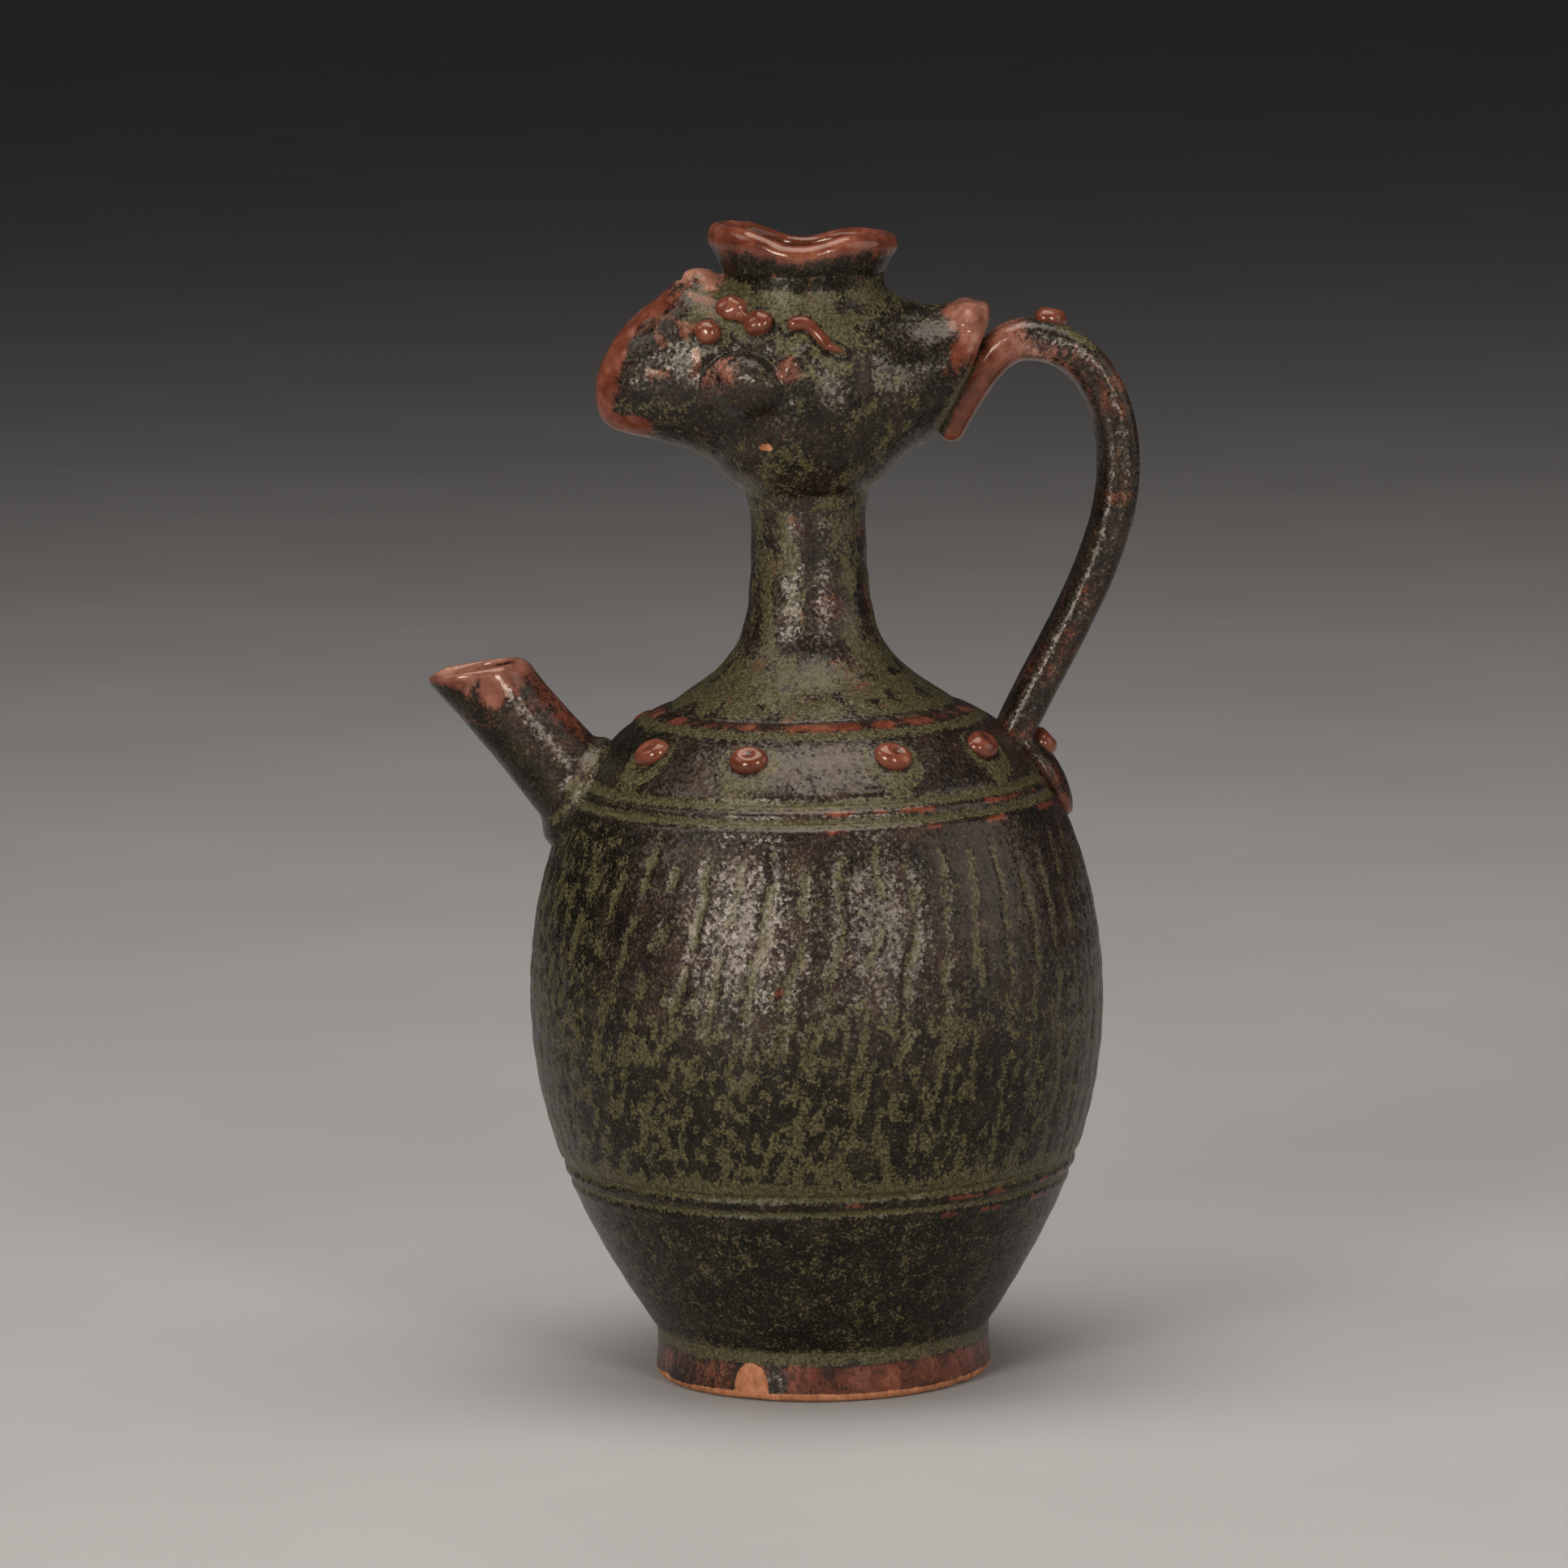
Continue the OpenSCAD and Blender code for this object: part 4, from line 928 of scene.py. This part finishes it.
def headMove(p, n):
    near = nearSide(p)
    shift = head["proud"] - waves(p, head["waves"])
    a, b, deep = cheekAt(p)
    if abs(deep) < face["cheekReach"]:  # steep upper edge
        shift += face["cheekSwell"] * math.sqrt(max(1 - a * a - b * b, 0)) * ease(-0.9, 0.4, b)
    shift -= face["creaseDeep"] * cheekCrease(p)  # pressed line over the cheek
    shift -= face["chipDeep"] * hump((near - chipPlace).length, face["chipHalf"])
    # drawn in under the mouth
    shift -= 0.2 * mm * hump(p.z - collarZ + 1.5 * mm, 2.2 * mm) * ease(0.6, 0.2, abs(p.x) / headR)
    # the brow runs straight up to the comb
    onTop = ease(0.35, 0.8, n.z) * fade(36, 40, p.z - headZ)
    shift += face["browUp"] * hump(p.x - face["browX"], face["browHalf"]) * onTop
    nostril = near - Vector((0, 0, headZ)) - Vector(face["nostril"])
    return shift - face["nostrilDeep"] * hump(nostril.length, face["nostrilHalf"])


def beakBand(p, n):  # red along the beak's edge, and fainter over its ridge
    if p.x >= -24 * mm:
        return 0.0, 0.0
    rim = min((pair(p.x, p.z) - q).length for q in beakRim) + 2 * mm * mottle(p, 6, 3)
    up = p.z - headZ - beak["tipUp"]
    band = beak["band"] * (1 - 0.5 * fade(3, 15, up))  # narrow along the brow
    chin = fade(0, -4, up) * fade(10, 16, p.x + beak["reach"])
    edge = ease(band, 0.45 * band, rim) * fade(-28, -36, p.x) * (1 - chin)
    return edge, ease(beak["band"], 0.5 * beak["band"], rim) * ease(0.1, 0.5, n.z) * 0.55


def crestBand(p):  # red on the crest's roll and back edge, olive in the seam at the tongue
    flat = pair(p.x, p.z)
    back = (flat - crestLow).dot(crestAway)
    along = (flat - crestLow).dot(crestUp) / (crestHigh - crestLow).length
    behind = fade(20, 26, p.x)
    roll = fade(15, 8, (flat - crestHigh).length + 2 * mm * mottle(p, 5, 2))
    lip = max(roll, fade(-8, -4, back) * ease(0.3, 0.7, along)) * behind
    return roll, lip, fade(-3.5, -1, back) * ease(0.75, 0.4, along) * behind


def headPaint(p, n):
    if math.hypot(p.x, p.y) < head["collarR"] - head["wall"] / 2 and n.x * p.x + n.y * p.y < 0:
        return {"thin": 0.4}
    near, h, overCollar = nearSide(p), p.z - headZ, p.z - collarZ
    crease = cheekCrease(p)
    pool = 0.14 + 0.6 * mottle(p, 8, 4) + 0.5 * mottle(p, 3, 6)
    pool += 0.6 * fade(-13, -7, overCollar + 2 * mm * mottle(p, 6))
    # painted shade above the seam, under the mouth's overhang, with no olive there
    overSeam = overCollar + 2.4 * mm - 4.2 * mm * (p.x / head["collarR"]) ** 2
    pool -= 1.1 * fade(-0.3, 1.2, overSeam + 0.8 * mm * mottle(p, 3, 2))
    marks = min((near - q).length - radius for q, radius in faceMarks)
    rimLine = hump(marks - 0.3 * mm, 0.6 * mm)  # dark line where a mark sits on the head
    pool += 0.6 * fade(7, 1.5, marks + 1.5 * mm * mottle(p, 4, 1))
    pool += 0.22 * fade(11, 2, h) + 0.3 * fade(14, 8, h) * fade(-20, -28, p.x)
    a, b, deep = cheekAt(p)
    dome = ease(1.15, 0.8, math.hypot(a, b)) * fade(9, 6, abs(deep))
    pool -= 0.55 * dome + 0.6 * fade(-25, -30, p.x) * fade(22, 28, h)  # brown on the upper beak
    pool -= 0.45 * fade(16, 26, p.x) * fade(22, 32, h)
    # painted shadow in the crease over the cheek, and a dark line round each mark
    pool *= (1 - 0.9 * crease) * (1 - 0.8 * rimLine)
    edge, ridge = beakBand(p, n)
    roll, lip, seam = crestBand(p)
    blush = 0.6 * ease(0, 0.4, mottle(p, 5, 12)) * fade(-18, -26, p.x) * fade(24, 32, h)
    knobGap = (p - Vector((-beak["combX"], 0, collarZ - mm))).length
    knob = fade(9.5, 5, knobGap + 2 * mm * mottle(p, 5, 2))
    ear = fade(5, 2.4, (near - earPlace + earSlope * 0.8 * mm).length)
    cheekHighlight = dome * ease(-0.7, 0.6, b) * ease(0.8, -0.3, a)  # painted highlight on the lit side, towards the beak
    thin = max(edge, 0.7 * ridge, lip, 0.9 * knob, 0.58 * ear, blush, 0.54 * cheekHighlight) + 0.24 * mottle(p, 4, 9)
    chipAt = p - chipPlace
    chipGap = math.hypot(chipAt.x * 0.7, chipAt.y * 0.7, chipAt.z * 1.4)
    chip = 0.8 * fade(2, 0.8, chipGap + 0.7 * mm * mottle(p, 1.6, 3))
    # painted shade on the head's underside, over the crest's flank, under the mouth and faintly everywhere
    under = fade(30, 20, h) * fade(2, 8, h)
    dim = max(0.65 * fade(10, 18, p.x) * fade(41, 35, h), 0.7 * fade(-14, -9, overCollar), 0.3)
    shade = max(fade(-0.3, 1.2, overSeam), 0.6 * under, crease, rimLine, dim * (1 - cheekHighlight))
    # painted highlight on the comb, the cheek's lit side, the ear, the crest's roll and the beak's blush
    paintedHighlight = max(knob, cheekHighlight, 0.4 * ear, 0.55 * roll, 0.5 * blush) * (0.85 + 0.3 * mottle(p, 4, 3))
    return {"pool": max(pool * (1 - 0.8 * max(edge, lip)), 0.8 * seam), "thin": thin * (1 - 0.8 * seam),
            "bare": chip, "deep": shade, "paintedHighlight": paintedHighlight}


def hollowHead(piece):
    inner = insetCurve(jawCurve, head["wall"], 16)[3:] + insetCurve(crownCurve, head["wall"], 16)[1:]
    bore, lowZ, highZ = neck["topR"] - neck["wall"], headZ - head["cutLow"], collarZ + head["cutHigh"]
    room = [pair(0, lowZ), pair(bore, lowZ), pair(bore, headZ + 4 * mm)] + inner
    room += [pair(head["collarR"] - head["wall"], highZ), pair(0, highZ)]
    cutter = linkMesh(spinProfile(room, 96), "headRoom")
    hollow = piece.modifiers.new("hollow", "BOOLEAN")
    hollow.operation, hollow.solver, hollow.object = "DIFFERENCE", "EXACT", cutter
    bm = applied(piece)
    piece.modifiers.clear()
    bpy.data.objects.remove(cutter)
    paint(bm, headPaint)
    shadeFaces(bm)
    bm.to_mesh(piece.data)
    bm.free()
    print("head hollowed", len(piece.data.polygons), "faces")


def makeHead():
    sleeveZ, capZ = headZ - head["sleeve"], collarZ + head["collarUp"]
    sleeve = [pair(0, sleeveZ), pair(neck["topR"] - 0.8 * mm, sleeveZ),
              pair(neck["topR"] - 0.1 * mm, headZ - head["sleeve"] / 2)]
    cap = [pair(head["collarR"], capZ), pair(0, capZ)]
    bm = spinProfile(sleeve + alongCurve(jawCurve, 30) + alongCurve(crownCurve, 30)[1:] + cap, 128)
    loftRings(bm, [beakPlace(0.985 * math.sin(math.pi / 2 * k / 40)) for k in range(41)], 64)
    loftRings(bm, [crestPlace(math.sin(math.pi / 2 * k / 40)) for k in range(41)], 64)
    roll = crestHigh - crestUp * crest["rollDown"] - crestAway * crest["rollIn"]
    addBall(bm, upright(roll), (crest["rollR"], crest["backW"] * 0.95, crest["rollR"]))
    ridge = min((bez(beakTop, k / 200) for k in range(201)), key=lambda q: abs(q.x + beak["combX"])).y
    knob = (beak["combR"], beak["combR"] * 1.15, beak["combR"])
    addBall(bm, (-beak["combX"], 0, ridge - beak["combSink"]), knob)
    cheekSize = (face["cheekWide"], face["cheekTall"], face["cheekDeep"])
    cheekSpot = cheekPlace - cheekOut * face["cheekSink"]
    tip = Matrix.Rotation(math.radians(face["cheekTip"]), 4, cheekSide)  # its upper edge stands out
    cheekFrame = tip @ axes(cheekSide, cheekTop, cheekOut)
    earSize = (face["earLong"], face["earWide"], face["earDeep"])
    earSpot = earPlace - earOut * face["earSink"]
    earFrame = axes(earSlope, earOut.cross(earSlope), earOut)
    for hand in (1, -1):
        flip = Matrix.Diagonal((1, hand, 1, 1))
        for size, spot, frameAt in ((cheekSize, cheekSpot, cheekFrame), (earSize, earSpot, earFrame)):
            ball = addBall(bm, (0, 0, 0), size)
            bmesh.ops.transform(bm, matrix=flip @ Matrix.Translation(spot) @ frameAt, verts=ball)
    bmesh.ops.recalc_face_normals(bm, faces=bm.faces[:])
    bm = fuse(bm, head["voxel"], head["smooths"])
    softenCreases(bm, head["creaseLimit"], head["creaseReach"], head["creasePasses"])
    sculpt(bm, headMove)
    piece = settle(bm, "birdHead", "dark_glaze", "head_bulb", "beak", "crest", "comb",
                   "cheek_left", "cheek_right", "ear_left", "ear_right")
    skin = BVHTree.FromObject(piece, bpy.context.evaluated_depsgraph_get())
    hollowHead(piece)
    return skin


headSkin = makeHead()


dents = []  # pressed spots of the pellets, where the glaze lies dark and painted shade fills the dimple


def pelletPaint(p, n):
    gap = min([(p - q).length for q in dents], default=1)
    # painted shade in each dimple
    return {"thin": 1.0 - 0.55 * hump(gap, 1.5 * mm)}


def addOval(bm, place, size, lift=0.0):
    spot, out, _, _ = headSkin.find_nearest(place)
    addBall(bm, spot + out * lift, size, out.to_track_quat("Z", "Y").to_matrix().to_4x4())


def coilRing(s):
    at, skinOut, _, _ = headSkin.find_nearest(coilPlace(s))
    way = (coilPlace(s + 0.01) - coilPlace(s - 0.01)).normalized()
    out = (skinOut - way * skinOut.dot(way)).normalized()
    across = way.cross(out)
    blunt = math.sqrt(max(1 - (1 - 2 * s) ** 8, 0.02)) if s < 0.5 else 1
    radius = face["coilR"] * blunt * (1.08 - 0.2 * s - 0.68 * ease(0.62, 1, s) + 0.1 * math.sin(9 * s))
    return lambda a: at + (out * math.cos(a) + across * math.sin(a)) * radius


def makeFaceMarks():
    for side, hand in (("left", 1), ("right", -1)):
        flip = Matrix.Diagonal((1, hand, 1, 1))
        eye = bmesh.new()
        addOval(eye, eyePlace, face["eyeOval"], face["eyeLift"])
        sculpt(eye, lambda p, n: 0.05 * mm - 0.3 * mm * mottle(p, 3, hand))
        brow = bmesh.new()
        addOval(brow, browPlace(1), face["lobeFar"], face["lobeLift"])
        addOval(brow, browPlace(0), face["lobeNear"], face["lobeLift"])
        addOval(brow, browPlace(0.5), face["lobeBead"])
        brow = fuse(brow, face["browVoxel"], face["browSmooths"])
        sculpt(brow, lambda p, n: 0.1 * mm - 0.45 * mm * mottle(p, 2.8, hand + 4))
        coil = bmesh.new()
        loftRings(coil, [coilRing(k / 40) for k in range(41)], 20)
        made = (("eye", "eye_", eye), ("brow", "brow_", brow), ("featherCoil", "feather_coil_", coil))
        for name, node, bm in made:
            paint(bm, pelletPaint)
            bmesh.ops.transform(bm, matrix=flip, verts=bm.verts[:])
            bmesh.ops.recalc_face_normals(bm, faces=bm.faces[:])
            settle(bm, name + side.title(), "red_glaze", node + side)


makeFaceMarks()

mouth = {
    "sideR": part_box("mouth_rim")[1].y, "endR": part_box("mouth_rim")[1].x, "rise": 13.2 * mm,
    "lipT": 5.4 * mm, "lipH": 6.6 * mm, "lipStart": -32, "lipSweep": 227, "seat": 0.2 * mm, "tuck": 0.5 * mm,
    "dip": 3.5 * mm, "dipPower": 10, "dipTurn": 7, "front": 1.6 * mm, "spinSteps": 240,
    "sunk": 0.32 * mm, "waves": ((0.2, 9, 5), (0.12, 3.5, 2)),
}


def mouthWave(bm):
    for v in bm.verts:
        turn = math.atan2(v.co.y, v.co.x)
        up = max((v.co.z - collarZ) / mouth["rise"], 0)
        side = turn + math.radians(mouth["dipTurn"]) if turn < 0 else turn
        lift = -mouth["front"] * math.cos(turn) - mouth["dip"] * abs(math.sin(side)) ** mouth["dipPower"]
        v.co.y *= 1 - up + up * mouth["sideR"] / mouth["endR"]
        v.co.z += up * lift


def mouthMove(p, n):
    low = fade(3, 6, p.z - collarZ)
    return -low * (mouth["sunk"] + waves(p, mouth["waves"]))


def mouthPaint(p, n):
    h = p.z - collarZ + 1.6 * mm * mottle(p, 6, 3) + 1.4 * mm * mottle(Vector((p.x, p.y, 0)), 2.5, 1)
    outside = n.x * p.x + n.y * p.y > 0
    thin = fade(6, 9.6, h) if outside or p.z > collarZ + 9 * mm else 0.55
    flecks = 0.55 * ease(0.15, 0.4, mottle(p, 3.2, 7)) * fade(5, 2, h) * outside
    # painted shade on the outside, under the lip's overhang
    return {"thin": max(thin, flecks), "deep": fade(8, 5, h) * outside}


def makeMouth():
    halfT, halfH = mouth["lipT"] / 2, mouth["lipH"] / 2
    lipMid = pair(mouth["endR"] - halfT, mouth["rise"] - halfH)
    angles = [math.radians(mouth["lipStart"] + mouth["lipSweep"] * k / 36) for k in range(37)]
    lip = [lipMid + pair(halfT * math.cos(a), halfH * math.sin(a)) for a in angles]
    rise, boreR = pair(0.8 * mm, 3 * mm), head["collarR"] - head["wall"]
    start = pair(head["collarR"] - mouth["tuck"], mouth["seat"])
    outer = alongCurve([start, start + rise, lip[0] - pair(1.9 * mm, 3.4 * mm), lip[0]], 18)
    inside = alongCurve([lip[-1], lip[-1] - rise, pair(boreR, 4 * mm), pair(boreR, mouth["seat"])], 14)
    profile = [pair(q.x, q.y + collarZ) for q in outer + lip[1:] + inside[1:]]
    bm = spinProfile(profile, mouth["spinSteps"], closed=True)
    paint(bm, mouthPaint)
    mouthWave(bm)
    sculpt(bm, mouthMove)
    settle(bm, "mouthRim", "red_glaze", "mouth_rim")


makeMouth()

spout = {
    "radius": 10.7 * mm, "tipR": 11.1 * mm, "root": 1.4 * mm, "length": 39 * mm, "rise": 51, "drop": 19 * mm,
    "cut": 8, "slopeRun": 22 * mm, "bore": 6.9 * mm, "boreSkin": 1.2 * mm, "sink": 10 * mm,
    "mouthR": 7.9 * mm, "lipH": 2.8 * mm, "lipPower": 0.85, "rub": 1.2 * mm, "rubRun": 6 * mm,
    "fillet": 2.4 * mm, "spinSteps": 160, "sunk": 0.27 * mm, "waves": ((0.2, 9, 3), (0.07, 3, 0)),
}
spoutSeat = atHeight(highCurve, shoulderZ - spout["drop"])
spoutTilt = Matrix.Rotation(math.radians(spout["rise"] - 90), 4, "Y")
spoutFrame = Matrix.Translation((-spoutSeat.x, 0, spoutSeat.y)) @ spoutTilt


def offBody(p):
    z = min(max(p.z, bellyZ), shoulderZ)
    return (math.hypot(p.x, p.y) - atHeight(highCurve, z).x) * 0.8


def spoutMove(p, n):
    at = spoutFrame.inverted() @ p
    outside = math.hypot(at.x, at.y) > spout["bore"] + spout["boreSkin"]
    fillet = spout["fillet"] * fade(5, 0.5, offBody(p)) if outside else 0
    return fillet - spout["sunk"] - waves(p, spout["waves"])


def spoutPaint(p, n):
    at = spoutFrame.inverted() @ p
    fromTip = at.z - spout["length"]
    if math.hypot(at.x, at.y) < spout["bore"] + spout["boreSkin"] and fromTip < -9 * mm:
        return {"thin": 0.5}
    tip = fade(-17, -6, fromTip + 4 * mm * mottle(p, 7, 2))
    upper = ease(0.05, 0.75, n.z) * fade(2, 14, at.z)
    root = fade(7, 1, offBody(p) + 2 * mm * mottle(p, 5, 4))
    thin = max(tip * ease(-0.75, 0.1, n.z + 0.5 * mottle(p, 6, 1)), 0.62 * upper) + 0.2 * mottle(p, 5, 8)
    pool = 0.55 * root + 0.2 * ease(0.1, 0.4, mottle(p, 4, 9))
    # painted shade on the underside, with less olive; painted highlight on the tip's upper side
    below = ease(0.15, -0.4, n.z)
    return {"thin": thin * (1 - root), "pool": pool * (1 - 0.7 * below), "deep": below,
            "paintedHighlight": 0.6 * tip * (1 - below) * (0.75 + 0.4 * mottle(p, 5, 6))}


def makeSpout():
    end, rootR = spout["length"] - spout["lipH"], spout["radius"] + spout["root"]
    wall = alongCurve([
        pair(rootR, -spout["sink"]), pair(rootR, 0),
        pair(spout["radius"] - spout["root"] / 2, spout["length"] / 2), pair(spout["tipR"], end)], 56)
    mid, half = (spout["tipR"] + spout["mouthR"]) / 2, (spout["tipR"] - spout["mouthR"]) / 2
    lip = []
    for a in [math.pi * k / 16 for k in range(1, 16)]:
        across = math.copysign(abs(math.cos(a)) ** spout["lipPower"], math.cos(a))
        lip.append(pair(mid + half * across, end + spout["lipH"] * math.sin(a) ** spout["lipPower"]))
    mouthEdge, throat = pair(spout["mouthR"], end), pair(spout["bore"], end - spout["lipH"] * 2)
    bore = [mouthEdge.lerp(throat, k / 6) for k in range(6)]
    bore += [throat.lerp(pair(spout["bore"], -spout["sink"]), k / 36) for k in range(37)]
    bm = spinProfile(wall + lip + bore, spout["spinSteps"], closed=True)
    slope = math.tan(math.radians(90 - spout["rise"] - spout["cut"]))
    for v in bm.verts:  # the tip leans over to a nearly level cut, its far corner is rubbed round
        rubbed = ease(end - spout["rubRun"], end, v.co.z) * ease(0.4, 1.05, -v.co.x / spout["tipR"])
        v.co.z -= spout["rub"] * rubbed
        v.co.z -= v.co.x * slope * ease(spout["length"] - spout["slopeRun"], spout["length"], v.co.z)
    bmesh.ops.transform(bm, matrix=spoutFrame, verts=bm.verts[:])
    sculpt(bm, spoutMove)
    paint(bm, spoutPaint)
    settle(bm, "tubeSpout", "red_glaze", "spout")


makeSpout()

handle = {
    "reach": 81.4 * mm, "farUp": 5 * mm, "topUp": 41 * mm, "topX": 53.5 * mm, "drop": 9 * mm, "lean": 64,
    "thick": 11 * mm, "wide": 17 * mm, "groove": 1.4 * mm, "footThin": 0.92,
    "footPull": 28 * mm, "risePull": 22 * mm, "farPull": 17 * mm, "topPull": 14.5 * mm, "tonguePull": 9 * mm,
    "tongueT": 7 * mm, "tongueW": 10 * mm, "tongueRound": 3.3 * mm, "press": 1 * mm,
    "leafDrop": 29 * mm, "leafW": 19 * mm, "leafT": 4 * mm, "leafHead": 6 * mm,
    "rows": 36, "voxel": 0.55 * mm, "smooths": 4, "buttonAt": 0.88, "leafButton": 13 * mm,
    "sunk": 0.12 * mm, "waves": ((0.15, 11, 4), (0.06, 3, 1)),
}
footZ = shoulderZ - handle["drop"]
strapFoot = atHeight(highCurve, footZ) - outAt(highCurve, footZ) * body["wall"] / 2
strapFar = pair(handle["reach"] - handle["thick"] / 2, headZ + handle["farUp"])
strapTop = pair(handle["topX"], headZ + handle["topUp"] - handle["thick"] / 2)
tongueTip = crestLow + crestAway * (handle["tongueT"] / 2 - handle["press"])
leanWay = pair(math.cos(math.radians(handle["lean"])), math.sin(math.radians(handle["lean"])))
strapLow = [
    strapFoot, strapFoot + leanWay * handle["footPull"],
    strapFar - pair(0, handle["risePull"]), strapFar]
strapArch = [
    strapFar, strapFar + pair(0, handle["farPull"]),
    strapTop + pair(handle["topPull"], 0), strapTop]
strapTongue = [
    strapTop, strapTop - pair(handle["tonguePull"], 0),
    tongueTip + crestUp * handle["tonguePull"], tongueTip]
strapLine = [bez(run, k / 30) for run in (strapLow, strapArch, strapTongue) for k in range(30)] + [tongueTip]


def strapRing(run, t, thick, wide, pull=0.0):
    at, way = bez(run, t), wayAt(run, t)
    out = pair(way.y, -way.x)
    def place(a):
        s, c = math.sin(a), math.cos(a)
        side = (wide / 2 - pull) * math.copysign(abs(s) ** 0.8, s)
        level = (thick / 2 - pull) * math.copysign(abs(c) ** 0.7, c)
        if c > 0:
            level -= handle["groove"] * max(0, 1 - (side / (wide * 0.3)) ** 2)
        q = at + out * level
        return Vector((q.x, side, q.y))
    return place


def tongueRing(t):
    start = 1 - handle["tongueRound"] / (tongueTip - strapTop).length
    pull = roundOff(t, start, handle["tongueRound"])
    thick = handle["thick"] + t * (handle["tongueT"] - handle["thick"])
    wide = handle["wide"] + t * (handle["tongueW"] - handle["wide"])
    return strapRing(strapTongue, t, thick, wide, pull)


def leafRing(s):
    z = shoulderZ - handle["leafHead"] - s * (handle["leafDrop"] - handle["leafHead"])
    at, out = atHeight(highCurve, z), outAt(highCurve, z)
    swell = 0.12 + 0.88 * math.sqrt(max(math.sin(math.radians(20 + 160 * s)), 0))
    def place(a):
        q = at + out * handle["leafT"] * swell * math.cos(a)
        return Vector((q.x, handle["leafW"] / 2 * swell * math.sin(a), q.y))
    return place


def handleMove(p, n):
    return -handle["sunk"] - waves(p, handle["waves"])


def handlePaint(p, n):
    flat = pair(p.x, p.z)
    k = min(range(len(strapLine)), key=lambda i: (strapLine[i] - flat).length_squared)
    s = k / 30  # 0 to 1 lower run, 1 to 2 arch, 2 to 3 tongue
    rub = mottle(p, 9, 6) + 0.5 * mottle(p, 4, 3)
    thin = 0.12 + 0.16 * ease(1.0, 1.6, s) + 0.42 * rub
    thin = max(thin, ease(1.75, 2.2, s) - 0.08 + 0.2 * rub)
    groove = fade(4.5, 2, abs(p.y)) * ease(0.3, 0.8, n.x + 0.6 * n.z) * ease(2.4, 1.9, s)
    thin -= 0.3 * groove
    pool = 0.4 * groove + 0.45 * mottle(p, 6, 2)
    near = hump(s - 1.72, 0.13) * ease(0.1, 0.7, n.z)
    pool = max(pool, near)
    thin *= 1 - 0.9 * near
    seam = fade(2.2, 0.6, (flat - crestLow).dot(crestAway)) * ease(2.05, 2.4, s)
    pool = max(pool, 0.9 * seam)
    leaf = fade(4.5, 1.5, offBody(p)) * fade(2, -4, p.z - shoulderZ)
    thin = thin * (1 - seam) + 0.25 * leaf
    # painted highlight on the arch's top; painted shade on the lower run and the start of the arch
    paintedHighlight = 0.85 * ease(1.5, 1.85, s) * ease(2.35, 2.0, s) * (0.75 + 0.4 * mottle(p, 6, 9))
    return {"thin": thin, "pool": pool * (1 - 0.6 * leaf), "deep": 0.35 * ease(1.7, 1.4, s), "paintedHighlight": paintedHighlight}


def makeHandle():
    bm = bmesh.new()
    rows, thick, wide = handle["rows"], handle["thick"], handle["wide"]
    thinner = [handle["footThin"] + (1 - handle["footThin"]) * k / rows for k in range(rows)]
    rings = [strapRing(strapLow, k / rows, thick * thinner[k], wide) for k in range(rows)]
    rings += [strapRing(strapArch, k / rows, thick, wide) for k in range(rows)]
    rings += [tongueRing(math.sin(math.pi / 2 * k / rows)) for k in range(rows + 1)]
    loftRings(bm, rings, 48)
    loftRings(bm, [leafRing(k / 30) for k in range(31)], 48)
    bm = fuse(bm, handle["voxel"], handle["smooths"])
    sculpt(bm, handleMove)
    paint(bm, handlePaint)
    settle(bm, "strapHandle", "red_glaze", "handle")


makeHandle()


# pressed pellets: a flattened ball with a dimple, each turned and dented a little differently
def addPellet(bm, seat, out, seed):
    radius, up = buttons["radius"], buttons["up"]
    turn = out.to_track_quat("Z", "Y").to_matrix().to_4x4()
    spun = Matrix.Rotation(0.5 * math.sin(seed * 2.1), 4, "Z")
    verts = addBall(bm, (0, 0, 0), (radius * 1.14, radius * 0.92, up * 1.1), segments=40)
    (dentX, dentY), (halfX, halfY) = buttons["dent"], buttons["dentHalf"]
    for v in verts:
        dimple = hump(v.co.x - dentX, halfX) * hump(v.co.y - dentY, halfY) * ease(0, up, v.co.z)
        v.co.z -= buttons["dentDeep"] * dimple
        v.co *= 1 - 0.05 * (1 + noise.noise(v.co / (3.4 * mm) + Vector((seed, 0, 0))))
        v.co.z -= up * 0.1
    place = Matrix.Translation(seat) @ turn @ spun
    dents.append(place @ Vector((dentX, dentY, up * 0.5)))
    bmesh.ops.transform(bm, matrix=place, verts=verts)


def makePellets(name, node, spots):
    bm = bmesh.new()
    for seat, out, seed in spots:
        addPellet(bm, seat, out, seed)
    paint(bm, pelletPaint)
    settle(bm, name, "red_glaze", node)


def makeButtons():
    out = outAt(highCurve, shoulderZ - buttons["drop"])
    ring = [(turned(buttonSeat, turn), turned(out, turn), k) for k, turn in enumerate(buttonTurns)]
    makePellets("shoulderButtons", "shoulder_buttons", ring)
    at, way = bez(strapArch, handle["buttonAt"]), wayAt(strapArch, handle["buttonAt"])
    out = pair(way.y, -way.x)
    onArch = upright(at + out * handle["thick"] / 2)
    makePellets("handleButtonUpper", "handle_button_upper", [(onArch, upright(out), 11)])
    z = shoulderZ - handle["leafButton"]
    out = outAt(highCurve, z)
    onLeaf = upright(atHeight(highCurve, z) + out * handle["leafT"])
    makePellets("handleButtonLower", "handle_button_lower", [(onLeaf, upright(out), 12)])


makeButtons()

print("all pieces made")
